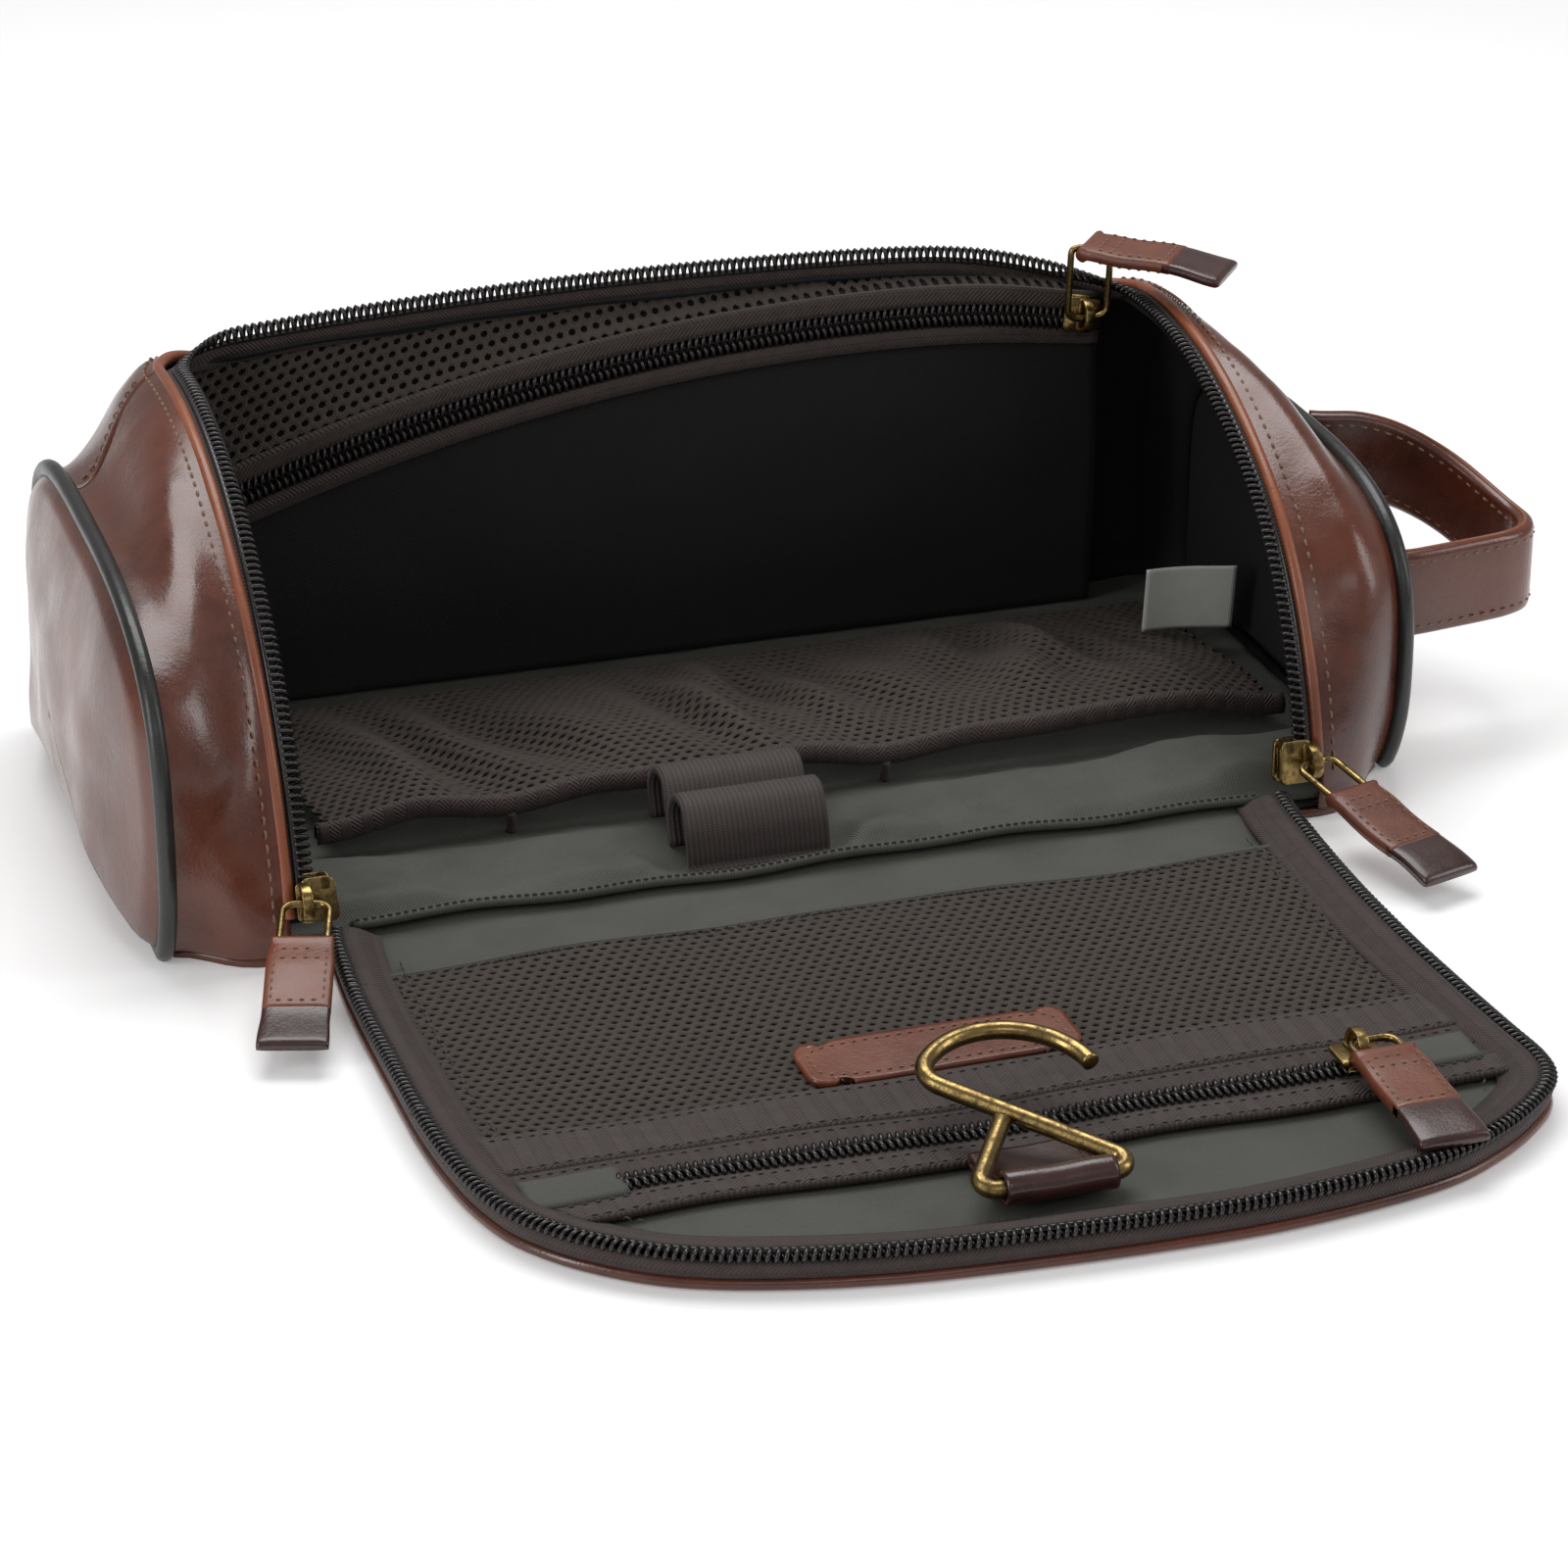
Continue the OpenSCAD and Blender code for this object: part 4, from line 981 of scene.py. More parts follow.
def pocket_sag(p):
    """The pocket follows the rim where the right shoulder gives way."""
    q = np.array(p, float)
    q[..., 2] -= 2.4 * np.exp(-((q[..., 0] - 104) / 20) ** 2) * ramp((q[..., 2] - 62) / 22)
    return q


# the pocket cloth on the back wall is drawn in the near-black twill: painted shade
xs = np.linspace(-POCKET_HALF, POCKET_HALF, 110)
v = np.linspace(0, 1, 44)[:, None]
zz = lerp(5.6, zip_z(xs, -3.0)[None], v)
xx = np.broadcast_to(xs[None], zz.shape)
yy = POCKET_Y + 0.4 - 2.6 * np.sin(np.pi * v) ** 2 + 0 * xx
wall = xyz(xx, yy, zz)
wall[..., 1] += 1.0 * wave(wall, 24, 4) * np.sin(np.pi * v)
wall = pocket_sag(wall)
cloth_panel("back_pocket_cloth", wall, POCKET_TWILL_PAINTED_SHADE, "zip_tape", "root", ("back_pocket_panel",), 0.0, 0.7)

for name, material, slot, node, y, offs, up, down, under in (
        ("back_pocket_band", WEBBING, "webbing", ("back_pocket_webbing",), -0.2, [2.6, 4.0, 5.4, 7.2],
         0.5, 0.5,
         "back_pocket_net"),
        ("back_pocket_lower_tape", TAPE, "zip_tape", (), -0.1, [-6.8, -5.0, -2.6], 0.9, 0.2,
         "back_pocket_cloth")):
    offs = np.array(offs)[:, None]
    band = pocket_sag(xyz(xs[None], POCKET_Y + y, zip_z(xs[None], offs)))
    cloth_panel(name, band, material, slot, "root", node, up, down, plan(offs, xs[None]))

shape = Shape()
for off in (-1.25, 1.25):
    line = pocket_sag(xyz(xs, POCKET_Y - 0.5, zip_z(xs, off)))
    reach = [0, 0, -np.sign(off) * 1.0]
    coil(shape, line, reach, [0, -1.0, 0], 1.35, 0.75, 0.48, start=0 if off > 0 else math.pi)
shape.make("back_pocket_teeth", COIL, "zip_coil", "root", "back_pocket_coil")

top_y, top_z = rim_yz(RIM_START - RIM_SWEEP)


def net_top(u):
    return top_z - 2.6 + bow(u)


def back_net_at(u, v):
    """u runs along the zip and v is the share of the way from the zip to the top edge."""
    low = zip_z(u, 6.4)
    high = np.maximum(net_top(u), low + 0.4)
    z = lerp(low, high, v)
    y = lerp(POCKET_Y, top_y + 1.9, v) + 0.8 * np.sin(np.pi * v)
    return pocket_sag(xyz(u, y, z))


def back_net_mm(u, v):
    return back_net_at(u, np.clip(v / np.maximum(net_top(u) - zip_z(u, 6.4), 0.5), -0.02, 1.02))


def on_back(u, v):
    u = np.array(u)
    return v < net_top(u) - zip_z(u, 6.4) - 0.6


piece = net(Shape(), back_net_mm, -105.5, 99, -1, 44, inside=on_back).make(
    "back_pocket_net", KNIT, "brown_mesh", "root", "back_pocket_mesh")
cloth(piece)
# near-black backing behind the back net: painted shade, so its holes look dark
under = np.array([[back_net_at(np.array(x), np.array(w)) + np.array([0, 0.9, 0]) for x in xs]
                  for w in np.linspace(-0.02, 1.04, 14)])
cloth_panel("back_net_backing", under, POCKET_TWILL_PAINTED_SHADE, "twill", "root", (), 0.0, 0.5)

# blank care label, sewn in at the right
us, vs = np.linspace(0, 21, 20), np.linspace(0, 17, 18)
vv, uu = np.meshgrid(vs, us, indexing="ij")
curl = 1.6 * np.sin(uu / 21 * np.pi * 1.2 + 0.3) + 0.9 * (vv / 17) ** 2
local = xyz(uu, curl * 0.55 - 0.21 * vv, vv * 0.97)
turn = math.radians(-8)
label = xyz(106 + local[..., 0] * math.cos(turn) - local[..., 1] * math.sin(turn),
            20 + local[..., 0] * math.sin(turn) + local[..., 1] * math.cos(turn), 9.8 + local[..., 2])
cloth_panel("care_label", label, LABEL, "label", "root", ("care_label",), 0.15, 0.15)

# ---- handle ----

HANDLE_Z, HANDLE_H, HANDLE_STEPS = 24.5, 20.0, 110
HANDLE = [[146, -31], [150, -31], [158, -30], [168, -28.6], [174, -27.2], [178.5, -24.6], [181, -19.5],
          [181, -13],
          [178.6, -4], [174, 5], [167, 12], [158, 17], [149, 20], [146, 21.5]]
line = smooth_path([[x, y, 0] for x, y in HANDLE], HANDLE_STEPS)
climb = 14 * ramp((np.linspace(0, 1, HANDLE_STEPS) - 0.42) / 0.5)
along = unit(np.gradient(line, axis=0))
out = xyz(along[:, 1], -along[:, 0], 0 * along[:, 0])
profile = [(1.0, 0.0), (1.7, 0.5), (2.0, 1.5), (2.0, 18.5), (1.7, 19.5), (1.0, 20.0), (0, 20.15),
           (-1.0, 20.0), (-1.7, 19.5), (-2.0, 18.5), (-2.0, 1.5), (-1.7, 0.5), (-1.0, 0.0), (0, -0.15)]
rings = np.array([[line[i] + out[i] * w * (1 + 0.06 * math.sin(i / 5)) + UP * (HANDLE_Z + climb[i] + h)
                   for w, h in profile] for i in range(HANDLE_STEPS)])
n = len(profile)
ends = [list(range(n)), [(len(rings) - 1) * n + j for j in range(n - 1, -1, -1)]]
Shape().add(rings, quads(len(rings), n, loop=True) + ends).make("handle", CHESTNUT, "leather", "root",
                                                                "handle_strap")
shape = Shape()
for h in (2.4, HANDLE_H - 2.4):
    for away in (-out, out):
        stitches(shape, line + xyz(0, 0, HANDLE_Z + climb + h) + away * 2.02, away, 2.8, 1.8, 0.26)
shape.make("handle_stitches", THREAD, "leather", "root")
shape = Shape()
for h in (-0.05, HANDLE_H + 0.05):
    tube(shape, line + xyz(0, 0, HANDLE_Z + climb + h), 0.42, 8)
shape.make("handle_cut_edge", CHESTNUT_LIGHT, "leather", "root")

# ---- flap, lying open ----

FLAP = [(-106, -64), (-107.3, -76), (-108.4, -95), (-108.5, -134), (-108.2, -150), (-107, -164), (-105, -176),
        (-101.5, -187), (-97, -194.5), (-91, -201.5), (-82, -209), (-73, -214), (-61, -218.3), (-45, -222.3),
        (-25, -225.2), (10, -227.5), (39, -227.4), (69, -223), (86, -215.5), (98, -206.5), (104, -199),
        (106, -190), (105, -176), (103.4, -157), (102.4, -138), (102.6, -111), (104, -79), (105.5, -64)]
outline = smooth_path([(x, y, 0) for x, y in FLAP], 720)
heading = unit(np.gradient(outline, axis=0))
inward = xyz(-heading[:, 1], heading[:, 0], 0 * heading[:, 0])
CUTS = (-92.0, -146.0)
LEFT_N = int(np.argmin(outline[:, 1]))
FLAP_NET_Y, FLAP_ZIP_Y = -84.5, -181.5      # upper edge of the mesh, and the middle of the pocket zip
PATCH_AT = (-4.0, -149.0)


def inset(d):
    return outline + inward * d


def edge_at(y, d, side):
    """X of the outline, drawn in by d, at the given y on one side."""
    p = inset(d)
    half = p[:LEFT_N] if side < 0 else p[LEFT_N:]
    order = np.argsort(half[:, 1])
    return np.interp(y, half[order, 1], half[order, 0])


def swell(x, y):
    """Soft unevenness shared by all the layers of the flap."""
    return (0.5 * np.sin(x / 31 + y / 23) + 0.32 * np.sin(x / 13 - y / 19 + 2)
            + 0.18 * np.sin(x / 7.3 + y / 9.1)) * ramp((HINGE[0] - y + 4) / 16)


def stretch(y0, y1, d, z, rows=24, cols=120):
    """Layer between two lines across the flap, its sides drawn in by d."""
    ys = np.linspace(y0, y1, rows)[:, None]
    u = np.linspace(0, 1, cols)[None]
    x = lerp(edge_at(ys, d, -1), edge_at(ys, d, 1), u)
    y = ys + 0 * x
    return xyz(x, y, z(x, y))


def nose(y0, d, z, rows=40, cols=200):
    """Layer from a line across the flap to its rounded front, its edge drawn in by d."""
    p = inset(d)
    p = p[p[:, 1] <= y0]
    p = np.vstack([[edge_at(y0, d, -1), y0, 0], p, [edge_at(y0, d, 1), y0, 0]])
    front = even(p, cols)
    w = np.linspace(0, 1, cols)
    share = 0.35 * w + 0.65 * (front[:, 0] - front[0, 0]) / (front[-1, 0] - front[0, 0])
    back = np.stack([lerp(front[0, 0], front[-1, 0], share), np.full(cols, y0)], 1)
    v = np.linspace(0, 1, rows)[:, None, None]
    q = lerp(back[None], front[None, :, :2], v)
    return np.concatenate([q, z(q[..., 0], q[..., 1])[..., None]], -1)[::-1]


def layer(name, d, z, material, slot, node, down, cloth_like=True):
    """One layer of the flap, in three pieces: lower, middle and front."""
    parts = (("lower", stretch(CUTS[0], HINGE[0] + 7.5, d, z), HINGE_BEND),
             ("middle", stretch(CUTS[1], CUTS[0], d, z), FOLD_1_BEND),
             ("front", nose(CUTS[1], d, z), FOLD_2_BEND))
    for word, p, bend in parts:
        piece = panel(name + "_" + word, p, material, slot, bend, (node + word,), 0.0, down, p[..., :2])
        if cloth_like:
            cloth(piece)


def leather_z(x, y):
    return 1.9 + 0.25 * ramp((HINGE[0] - y) / 20) * np.sin(x / 40) ** 2


def lining_z(x, y):
    near = ramp((y - HINGE[0] + 7) / 10)
    quilt = 0.35 * np.sin(x / 5.1 + y / 3) * ramp((y + 86) / 9) * (1 - near)
    front = ramp((-195 - y) / 12)
    return lerp(3.7 + 0.9 * swell(x, y) + quilt + front * (0.7 + 0.5 * np.sin(x / 21)), seam_z(x) - 1.6, near)


layer("flap_leather", 1.6, leather_z, CHESTNUT, "leather", "flap_panel_", 1.7, False)
layer("flap_lining", 8.0, lining_z, LINING, "twill", "flap_lining_", 1.1)


def rim_z(y):
    return 7.0 + 0.25 * np.sin(y / 13)


def cut_path(values, y0, y1):
    """The runs of a path round the flap whose y lies between two lines, ends included."""
    y = values[:, 1]
    runs, run = [], []
    for i in range(len(values)):
        within = y0 >= y[i] >= y1
        if i and (y0 >= y[i - 1] >= y1) != within:
            goal = y0 if (y[i] > y0 or y[i - 1] > y0) else y1
            share = (goal - y[i - 1]) / (y[i] - y[i - 1])
            crossing = lerp(values[i - 1], values[i], share)
            if within:
                run = [crossing]
            else:
                runs.append(np.array(run + [crossing]))
                run = []
        if within:
            run.append(values[i])
    if len(run) > 1:
        runs.append(np.array(run))
    return runs


spans = (("lower", HINGE[0] - 1.5, CUTS[0], HINGE_BEND), ("middle", CUTS[0], CUTS[1], FOLD_1_BEND),
         ("front", CUTS[1], -400, FOLD_2_BEND))
middle_line = inset(1.75)
middle_line[:, 2] = rim_z(middle_line[:, 1])
for word, y0, y1, bend in spans:
    teeth, cord_line, strip_rows, edge_line = Shape(), Shape(), Shape(), Shape()
    across = np.array([1.5, 2.6, 3.8, 5.0, 6.4, 8.2, 9.4])
    rise = np.array([0.2, 0.1, -0.1, -0.5, -1.2, -2.2, -2.5])
    for run in cut_path(np.concatenate([middle_line, inward], 1), y0, y1):
        coil(teeth, run[:, :3], -run[:, 3:], [0, 0, 1.0], 1.5, 0.8, 0.5)
        tube(cord_line, run[:, :3] + run[:, 3:] * 1.5, 0.72, 6)
        place, n, far = run[:, :3], run[:, 3:], lengths(run[:, :3])
        p = place[None] + n[None] * across[:, None, None]
        p[..., 2] += rise[:, None] + 0.5 * swell(p[..., 0], p[..., 1]) * (across > 6)[:, None]
        slab(strip_rows, p.transpose(1, 0, 2)[::-1], 0.45, 0.45, plan(across[None], far[::-1, None]))
        q = place - n * 0.2
        q[:, 2] = 1.35
        tube(edge_line, q, 1.2, 10)
        # below the coil the tape turns down to the leather
        down = place[None] + n[None] * np.array([-0.7, -0.9, -0.5, 0.3])[:, None, None]
        down[..., 2] = np.array([6.3, 4.8, 3.2, 2.0])[:, None]
        slab(strip_rows, down.transpose(1, 0, 2)[::-1], 0.35, 0.35,
             plan(np.array([0, 1.5, 3.1, 4.5])[None], far[::-1, None]))
    teeth.make("flap_teeth_" + word, COIL, "zip_coil", bend, "flap_coil_" + word)
    cord_line.make("flap_teeth_cord_" + word, COIL, "zip_coil", bend)
    strip_rows.make("flap_tape_" + word, TAPE, "zip_tape", bend, "flap_tape_" + word)
    edge_line.make("flap_leather_edge_" + word, CHESTNUT, "leather", bend)


def net_z(x, y):
    return lining_z(x, y) + 1.0


def flap_net_at(u, v):
    y = FLAP_NET_Y - v
    x = u + 0.6 * np.sin(y / 15 + u / 30)
    return xyz(x, y, net_z(x, y))


def on_flap(u, v):
    y = FLAP_NET_Y - v
    return edge_at(y, 9.2, -1) + 1.0 < u < edge_at(y, 9.2, 1) - 1.0


shape = Shape()
net(shape, flap_net_at, -101, 101, 0, 76, inside=on_flap)
shape.faces = [f[::-1] for f in shape.faces]
piece = shape.make("flap_net", KNIT, "brown_mesh", FOLD_1_BEND, "flap_mesh_lower", "flap_mesh_middle")
cloth(piece)


# flat bands sewn across the flap
for name, y0, y1, lift, thick, material, slot, nodes, span, rows, cols in (
        ("flap_band_upper", -157.6, -171.8, 1.1, 1.0, WEBBING, "webbing", ("flap_webbing_upper",), None,
         9, 150),
        ("flap_band_top", -84.2, -85.2, 0.9, 0.6, LINING, "twill", (), None, 3, 150),
        ("flap_pocket_tape", -171.0, -179.6, 0.9, 0.8, TAPE, "zip_tape", ("flap_pocket_tape",), None, 6, 150),
        ("flap_pocket_tape_low", -183.4, -187.2, 0.9, 0.8, TAPE, "zip_tape", (), None, 4, 150),
        ("flap_band_lower", -186.0, -192.6, 1.2, 1.1, WEBBING, "webbing", ("flap_webbing_lower",), None,
         5, 150),
        ("zip_end_left", -176.4, -186.6, 1.9, 0.9, LINING, "twill", (), (-96.0, -77.0), 6, 16),
        ("zip_end_right", -176.4, -186.6, 1.9, 0.9, LINING, "twill", (), (79.0, 94.5), 6, 14)):
    ys = np.linspace(y1, y0, rows)[:, None]
    left, right = span or (edge_at(ys, 8.6, -1), edge_at(ys, 8.6, 1))
    x = lerp(left, right, np.linspace(0, 1, cols)[None]) + 0 * ys
    y = ys + 0.25 * np.sin(x / 13)
    p = xyz(x, y, lining_z(x, y) + lift)
    bend = FOLD_1_BEND if name == "flap_band_top" else FOLD_2_BEND
    cloth(panel(name, p, material, slot, bend, nodes, thick, 0.3, p[..., :2]))

shape = Shape()
xs = np.linspace(-78, 80, 160)
for off in (-1.25, 1.25):
    y = FLAP_ZIP_Y + off + 0 * xs
    line = xyz(xs, y, lining_z(xs, y) + 2.0)
    coil(shape, line, [0, -np.sign(off), 0], [0, 0, 1.0],
         1.35, 0.75, 0.48, start=0 if off > 0 else math.pi)
shape.make("flap_pocket_teeth", COIL, "zip_coil", FOLD_2_BEND, "flap_pocket_coil")

# stitch lines across and along the flap
shape_1, shape_2 = Shape(), Shape()
up_z = [0, 0, 1.0]
for y0, z_lift, where in ((-159.2, 2.15, shape_2), (-170.6, 2.15, shape_2), (-173.4, 1.75, shape_2),
                          (-187.2, 2.35, shape_2), (-191.5, 2.35, shape_2), (-86.6, 1.6, shape_1)):
    x = np.linspace(edge_at(y0, 10, -1), edge_at(y0, 10, 1), 200)
    y = y0 + 0.25 * np.sin(x / 13)
    stitches(where, xyz(x, y, lining_z(x, y) + z_lift), up_z, 2.6, 1.7, 0.22)
for side in (-1, 1):
    for y0, y1, where in ((-78, -150, shape_1), (-150, -196, shape_2)):
        y = np.linspace(y0, y1, 200)
        x = edge_at(y, 13.6, side)
        stitches(where, xyz(x, y, net_z(x, y) + 0.45), up_z, 2.7, 1.7, 0.2)
shape_1.make("flap_stitches_middle", DARK_THREAD, "brown_mesh", FOLD_1_BEND)
shape_2.make("flap_stitches_front", DARK_THREAD, "webbing", FOLD_2_BEND)

# leather patch, blank, with two notches in its long sides
us, vs = np.linspace(-1, 1, 70), np.linspace(-1, 1, 20)
vv, uu = np.meshgrid(vs, us, indexing="ij")
half_w, half_h, r = 28.0, 8.0, 4.0
y = vv * half_h
x = uu * (half_w - r + np.sqrt(np.maximum(r * r - np.maximum(np.abs(y) - (half_h - r), 0) ** 2, 0)))
notch = 1.4 * np.exp(-((np.abs(x) - 21.5) / 1.5) ** 2) * np.abs(vv) ** 6
y = y - np.sign(vv) * notch
cx, cy = x + PATCH_AT[0], y + PATCH_AT[1]
patch = xyz(cx, cy, net_z(cx, cy) + 1.1 + 0.25 * np.sin(cx / 9))
panel("leather_patch", patch, TAB_LEATHER, "leather", "flap_middle", ("leather_patch",), 0.7, 0.7)
shape = Shape()
a = np.linspace(0, 2 * np.pi, 161)
loop = xyz(25.6 * signed_power(np.cos(a), 0.28), 6.0 * signed_power(np.sin(a), 0.4), 0 * a)
loop = even(loop, 200)
lx, ly = loop[:, 0] + PATCH_AT[0], loop[:, 1] + PATCH_AT[1]
stitches(shape, xyz(lx, ly, net_z(lx, ly) + 1.85 + 0.25 * np.sin(lx / 9)), up_z, 2.3, 1.5, 0.22)
shape.make("patch_stitches", THREAD, "leather", "flap_middle")

# ---- metal and pulls ----


def shift(x, y, z):
    m = np.eye(4)
    m[:3, 3] = x, y, z
    return m


def spin(axis, degrees):
    c, s = math.cos(math.radians(degrees)), math.sin(math.radians(degrees))
    m = np.eye(4)
    i, j = {"x": (1, 2), "y": (2, 0), "z": (0, 1)}[axis]
    m[i, i], m[i, j], m[j, i], m[j, j] = c, -s, s, c
    return m


def placed(shape, matrix):
    """Moves everything gathered so far by a matrix."""
    flip = np.linalg.det(matrix[:3, :3]) < 0
    shape.verts = [v @ matrix[:3, :3].T + matrix[:3, 3] for v in shape.verts]
    if flip:
        shape.faces = [f[::-1] for f in shape.faces]
    return shape


def prism(shape, outline, y0, y1, bevel=0.3):
    """A plate with softened edges: its outline lies in X and Z, and it is as thick as y0 to y1."""
    p = np.array(outline, float)
    n = len(p)
    along = unit(np.roll(p, -1, 0) - np.roll(p, 1, 0))
    into = np.stack([-along[:, 1], along[:, 0]], 1)
    rings = [(bevel, y0), (bevel * 0.3, y0 + bevel * 0.3), (0, y0 + bevel), (0, y1 - bevel),
             (bevel * 0.3, y1 - bevel * 0.3), (bevel, y1)]
    verts = np.array([[[a[0] + b[0] * d, y, a[1] + b[1] * d] for a, b in zip(p, into)] for d, y in rings])
    return shape.add(verts, capped(len(rings), n))


def rounded_outline(half_w, half_h, r, taper=0.0, steps=6):
    pts = []
    for cx, cy, start in ((1, -1, -90), (1, 1, 0), (-1, 1, 90), (-1, -1, 180)):
        for k in range(steps + 1):
            a = math.radians(start + 90 * k / steps)
            w = half_w - taper * (cy > 0)
            pts.append((cx * (w - r) + r * math.cos(a), cy * (half_h - r) + r * math.sin(a)))
    return pts


def bar(shape, path, w, t, side):
    """Sweeps a softened rectangle, w along side and t across it, along the path."""
    path = np.array(path, float)
    along = unit(np.gradient(path, axis=0))
    side = np.tile(np.array(side, float), (len(path), 1))
    out = unit(np.cross(side, along))
    ring = rounded_outline(w / 2, t / 2, min(w, t) * 0.3, steps=3)
    verts = np.array([[p + s * a + o * b for a, b in ring] for p, s, o in zip(path, side, out)])
    return shape.add(verts, capped(len(path), len(ring)))


CHANNEL = 3.0
EYE_H = CHANNEL / 2 + 1.2 + 2


def slider(with_inner, bridge_turn, bridge_x):
    """Zip slider at the origin, as in the CAD model: coil along Z, outer face towards -Y."""
    outer = -CHANNEL / 2 - 1.2
    shape = Shape()
    prism(shape, rounded_outline(4.2, 4.7, 1.5, 0.7), outer, outer + 1.2, 0.35)
    for side in (-1, 1):
        prism(shape, [(side * 4.2 - 0.35, -3.4), (side * 4.2 + 0.35 - 0.7 * (side > 0), -3.4),
                      (side * 3.9 + 0.3 - 0.6 * (side > 0), 3.2), (side * 3.9 - 0.3, 3.2)],
              outer + 0.6, outer + 2.3, 0.12)
    if with_inner:
        prism(shape, rounded_outline(4.2, 4.7, 1.5, 0.7), CHANNEL / 2, CHANNEL / 2 + 1.2, 0.35)
        prism(shape, rounded_outline(1.0, 1.35, 0.5), outer, CHANNEL / 2 + 1.0, 0.1)
        shape.verts[-1] = shape.verts[-1] + np.array([1.6, 0, 3.3])
    arch = Shape()
    path = smooth_path([(0, outer + 0.5, -3.5), (0, outer - 1.8, -3.2), (0, outer - 3.6, -2.0),
                        (0, outer - 4.0, 0),
                        (0, outer - 3.6, 2.0), (0, outer - 1.8, 3.2), (0, outer + 0.5, 3.5)], 30)
    bar(arch, path, 2.3, 1.0, (1, 0, 0))
    prism(arch, rounded_outline(1.7, 3.9, 0.8), outer - 0.5, outer + 0.2, 0.2)
    placed(arch, shift(bridge_x, 0, 0) @ spin("y", bridge_turn))
    return merge(shape, arch)


def merge(shape, other):
    shape.faces += [[i + shape.count for i in f] for f in other.faces]
    shape.verts += other.verts
    shape.flat += other.flat
    shape.count += other.count
    return shape


def ring_shape(length, width=9.6):
    """Wire ring: rounded where it passes through the bridge, squarer where the tab folds over it."""
    hw = width / 2
    path = []
    for cx, cy, r, start in ((hw, 0, 2.6, 0), (-hw, 0, 2.6, 90), (-hw, -length, 1.3, 180),
                             (hw, -length, 1.3, 270)):
        mx, my = cx - math.copysign(r, cx), cy - r if cy == 0 else cy + r
        for k in range(7):
            a = math.radians(start + 15 * k)
            path.append((mx + r * math.cos(a), my + r * math.sin(a), 0))
    shape = Shape()
    path = np.array(path)
    dense = np.vstack([lerp(path[i], path[(i + 1) % len(path)], u) for i in range(len(path))
                       for u in np.linspace(0, 1, 3, endpoint=False)]).reshape(-1, 3)
    return tube(shape, dense, 0.78, 12, closed=True)


def folded_strip(shape, body):
    """Rows that run down one face of a strip and back up the other, closed at their ends and sides."""
    body = np.array(body)
    n, m = body.shape[:2]
    faces = quads(n, m) + [[(n - 1) * m + j, (n - 1) * m + j + 1, j + 1, j] for j in range(m - 1)]
    for j in (0, m - 1):
        for k in range(n // 2):
            quad = [i * m + j for i in (k, k + 1, n - 2 - k, n - 1 - k)]
            if len(set(quad)) == 4:
                faces.append(quad if j == 0 else quad[::-1])
    shape.add(body, faces)


def tab_shapes(turn=0.0, droop=0.0, seed=0.0):
    """Leather tab hung from a bar along X at the origin, towards -Y: light part, dark part, stitches."""
    def sheet_at(s, u, half_t):
        w = 6.2 + 0.5 * ramp(s / 9) + 0.35 * ramp((s - 24) / 8)
        x = u * w
        z = droop * ramp((s - 14) / 20) * 6 + 0.35 * math.sin(s / 4 + seed) * ramp(s / 10)
        return x, 1.7 - s, z + half_t * (1 - 0.32 * abs(u) ** 6)

    us = np.linspace(-1, 1, 25)

    def rows(start, stop, count, half_t, taper=0.0):
        return [[sheet_at(s, u, half_t * (1 - taper * ramp((s - 33.2) / 1.2))) for u in us]
                for s in np.linspace(start, stop, count)]

    light, dark, seams = Shape(), Shape(), Shape()
    wire = [math.radians(-90 + 18 * k) for k in range(11)]
    wrap = [[(u * 6.2, 1.9 * math.cos(a) - 0.2, 1.75 * math.sin(a)) for u in us] for a in wire]
    end = [[sheet_at(22.6, u, z) for u in us] for z in (1.1, 0.2, -0.2, -1.1)]
    folded_strip(light, rows(22.0, 2.6, 26, -1.62) + wrap + rows(2.6, 22.0, 26, 1.62) + end)
    folded_strip(dark, rows(20.5, 34.2, 20, 1.35, 0.55) + rows(34.2, 20.5, 20, -1.35, 0.55))
    for face_side in (-1, 1):
        lines = [([(s, u) for s in np.linspace(4.5, 21, 30)], 0.02) for u in (-0.78, 0.78)]
        lines += [([(s, u) for u in np.linspace(-0.7, 0.7, 30)], 0.0) for s in (5.0, 8.2, 20.6)]
        for at, lift in lines:
            line = np.array([sheet_at(s, u, 1.62 * face_side) for s, u in at]) + UP * lift * face_side
            stitches(seams, line, UP * face_side, 2.3, 1.5, 0.24)
    for part in (light, dark, seams):
        placed(part, spin("z", turn))
    return light, dark, seams


def hang_tab(word, matrix, body, turn=0.0, droop=0.0, seed=0.0):
    light, dark, seams = (placed(part, matrix) for part in tab_shapes(turn, droop, seed))
    light.make(word + "_tab", TAB_LEATHER, "pull_leather", body, word + "_zip_pull")
    dark.make(word + "_tab_end", DARK_LEATHER, "pull_leather", body)
    seams.make(word + "_tab_stitches", THREAD, "pull_leather", body)


def pull(word, part, slider_at, length, ring_at, ring_body, tab_turn=0.0, *tab):
    """A slider with its ring, length long, and the tab that hangs from the end of the ring."""
    placed(part, slider_at).make(word + "_slider", BRASS, "antique_brass", word + "_slider",
                                 word + "_zip_slider")
    placed(ring_shape(length), ring_at).make(word + "_ring", BRASS, "antique_brass", ring_body,
                                             word + "_zip_ring")
    hang_tab(word, ring_at @ shift(0, -length, 0) @ spin("x", tab_turn), word + "_pull", *tab)


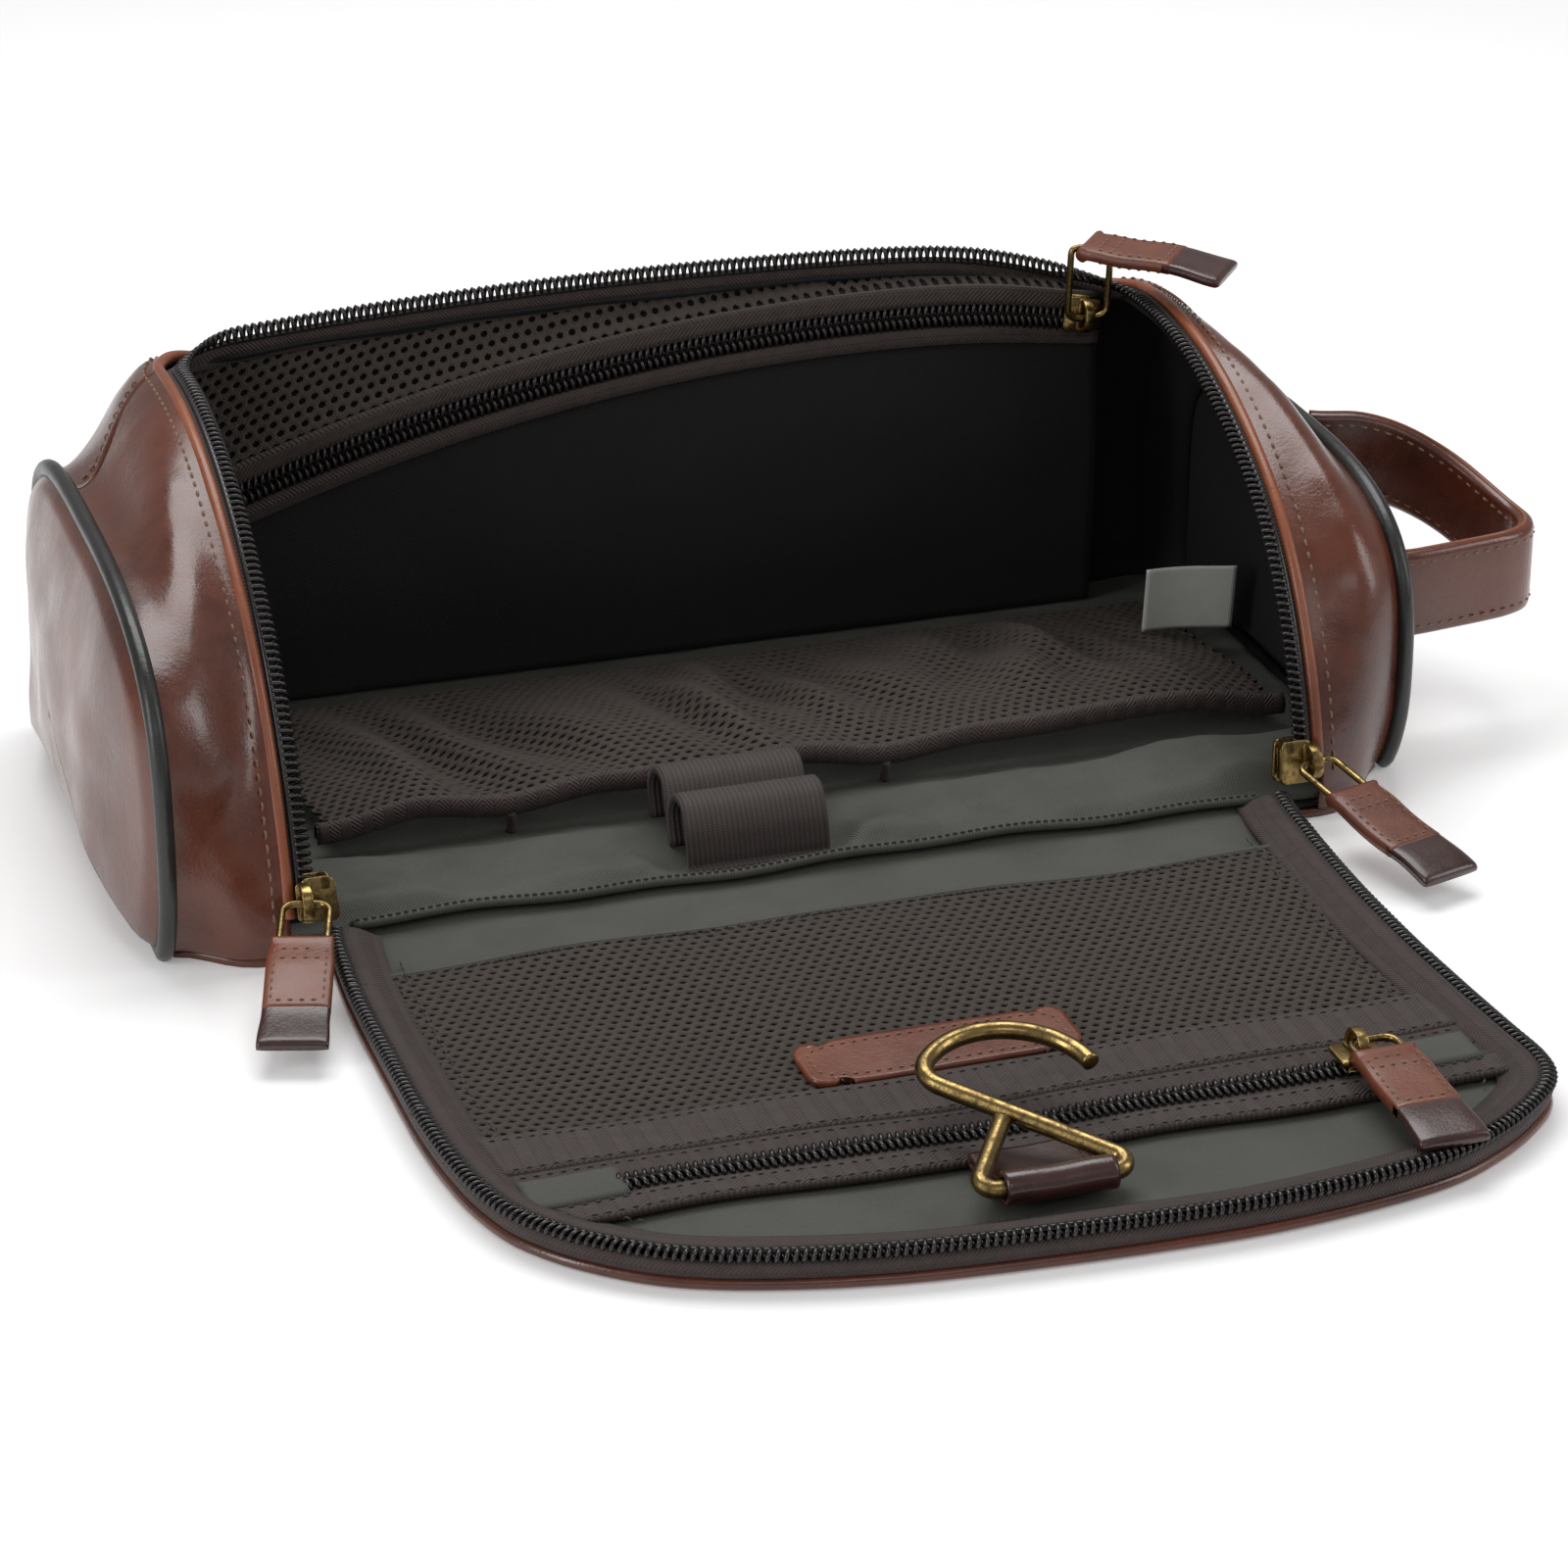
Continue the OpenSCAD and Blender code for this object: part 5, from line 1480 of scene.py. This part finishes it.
SLIDER_ANGLE = RIM_START - 4
for side, word in SIDES:
    part = slider(True, 0, -3)
    if side > 0:
        placed(part, np.diag([-1.0, 1, 1, 1]))
    (y, z), (ring_y, ring_z) = rim_yz(SLIDER_ANGLE), rim_yz(SLIDER_ANGLE, RIM_R + EYE_H)
    pull(word, part, shift(side * SPLIT_X, y, z) @ spin("x", SLIDER_ANGLE - 180), 13,
         shift(side * (SPLIT_X + 3), ring_y, ring_z) @ spin("z", side * 17) @ spin("x", 12), word + "_pull",
         0.0, 0.0, 0.0, side)

BACK_X, BACK_LEAN = 101.0, 5.0          # place of the back slider, and how far its ring leans back
back_z = float(zip_z(np.array(BACK_X)))
coil_y = POCKET_Y + 0.6 - 1.1
turn = math.degrees(math.asin((BACK_X - BACK_ZIP_X) / BACK_ZIP_R))
pull("back", slider(False, 90, 0), shift(BACK_X, coil_y, back_z) @ spin("y", turn + 90), 17.6,
     shift(BACK_X, coil_y - EYE_H, back_z) @ spin("x", BACK_LEAN - 90), "back_slider",
     90 - BACK_LEAN + 2, 50, -0.25, 2.0)

pull("flap", slider(False, 90, 0), shift(70, FLAP_ZIP_Y, 6.6) @ spin("x", -90) @ spin("y", 90), 6.6,
     shift(72.6, FLAP_ZIP_Y, 6.6 + EYE_H) @ spin("x", 1.2), "flap_pull", 0.0, 0, -0.2, 1.0)

# ---- hook and its loop ----

HOOK_AT = shift(-2.4, -212, 10) @ spin("x", 10)
BAR_LEFT, BAR_RIGHT, LEG_DIR, SHANK_DIR, CORNER_R = -17.0, 16.7, 57.3, 133.0, 2.7
WIRE_R = 1.8
CROOK_MID, CROOK_R, CROOK_TIP, NECK_R = np.array([0.6, 28.1]), 17.4, 11.0, 6.0


def polar(r, degrees):
    return r * np.array([math.cos(math.radians(degrees)), math.sin(math.radians(degrees))])


def arc(mid, r, start, stop, steps):
    return [np.array(mid) + polar(r, a) for a in np.linspace(start, stop, steps)]


leg = ((BAR_RIGHT - BAR_LEFT) * math.sin(math.radians(SHANK_DIR))
       / math.sin(math.radians(SHANK_DIR - LEG_DIR)) - 1.44 * WIRE_R)
left_cut = CORNER_R / math.tan(math.radians(LEG_DIR / 2))
right_cut = CORNER_R / math.tan(math.radians((180 - SHANK_DIR) / 2))
shank_side = polar(1, SHANK_DIR - 90)
crook_off = CROOK_MID - np.array([BAR_RIGHT, 0])
shank = crook_off @ polar(1, SHANK_DIR) + math.sqrt((CROOK_R - NECK_R) ** 2
                                                    - (crook_off @ shank_side - NECK_R) ** 2)
neck = np.array([BAR_RIGHT, 0]) + shank * polar(1, SHANK_DIR) + NECK_R * shank_side
neck_dir = math.degrees(math.atan2(neck[1] - CROOK_MID[1], neck[0] - CROOK_MID[0]))
wire = [np.array([BAR_LEFT, 0]) + polar(leg, LEG_DIR), np.array([BAR_LEFT, 0]) + polar(leg - 1.0, LEG_DIR)]
wire += arc((BAR_LEFT + left_cut, CORNER_R), CORNER_R, 90 + LEG_DIR, 270, 14)
wire += arc((BAR_RIGHT - right_cut, CORNER_R), CORNER_R, -90, SHANK_DIR - 90, 16)
wire += arc(neck, NECK_R, SHANK_DIR + 90, neck_dir, 14)
wire += arc(CROOK_MID, CROOK_R, neck_dir, CROOK_TIP, 60)[1:]
wire = np.array([[a, b, 0] for a, b in wire])
wire = np.vstack([wire[:1], wire[:1] + (wire[1] - wire[0]) * 0.25, wire[1:-1],
                  wire[-1:] - (wire[-1] - wire[-2]) * 0.3, wire[-1:]])
radius = np.full(len(wire), WIRE_R)
radius[0] = radius[-1] = 1.5
shape = Shape()
plane_side = unit(np.cross(np.gradient(wire, axis=0), [0, 0, 1.0]))
tube(shape, wire, radius, 24, side=plane_side, up=[0, 0, 1.0])
placed(shape, HOOK_AT)
shape.make("hook", BRASS, "antique_brass", "hook", "hanging_hook")

# leather sleeve round the bar: a folded strip whose two ends lie flat behind the bar
x0, x1 = -2.4 - 11.4, -2.4 + 10.3
ring = [(-193.5, 4.9), (-200, 5.0), (-206, 5.4), (-209.6, 6.9)]
for k in range(15):
    a = math.radians(-120 - 18 * k)
    ring.append((-212 + 2.75 * math.cos(a), 10 + 2.75 * math.sin(a)))
ring += [(-208.4, 9.6), (-205.5, 7.4), (-200, 6.9), (-193.2, 6.9)]
ring = smooth_path([(0, a, b) for a, b in ring], 90)
xs = np.linspace(x0, x1, 26)
grid = np.array([[[x, a, b + 0.12 * math.sin(x / 2.4)] for x in xs] for _, a, b in ring])
panel("hook_sleeve", grid, DARK_LEATHER, "dark_leather", "flap_front", ("hook_loop",), 0.45, 0.45)
shape = Shape()
for x in (x0 + 1.6, x1 - 1.6):
    line = np.array([[x, y, 7.4] for y in np.linspace(-204.5, -194, 12)])
    stitches(shape, line, [0, 0, 1.0], 2.3, 1.5, 0.22)
shape.make("sleeve_stitches", DARK_THREAD, "dark_leather", "flap_front")

# ---- floor ----

mesh = bpy.data.meshes.new("floor")
mesh.from_pydata([(-4, -4, 0), (4, -4, 0), (4, 6, 0), (-4, 6, 0)], [], [[0, 1, 2, 3]])
floor = bpy.data.objects.new("floor", mesh)
bpy.context.collection.objects.link(floor)
paper = Finish("white_paper")
mesh.materials.append(paper.done(paper.mix(paper.speckle(400), (0.95, 0.95, 0.95), (0.93, 0.93, 0.93)), 0.6))
paper.shader.inputs["Emission Color"].default_value = (1, 1, 1, 1)
paper.shader.inputs["Emission Strength"].default_value = 0.16
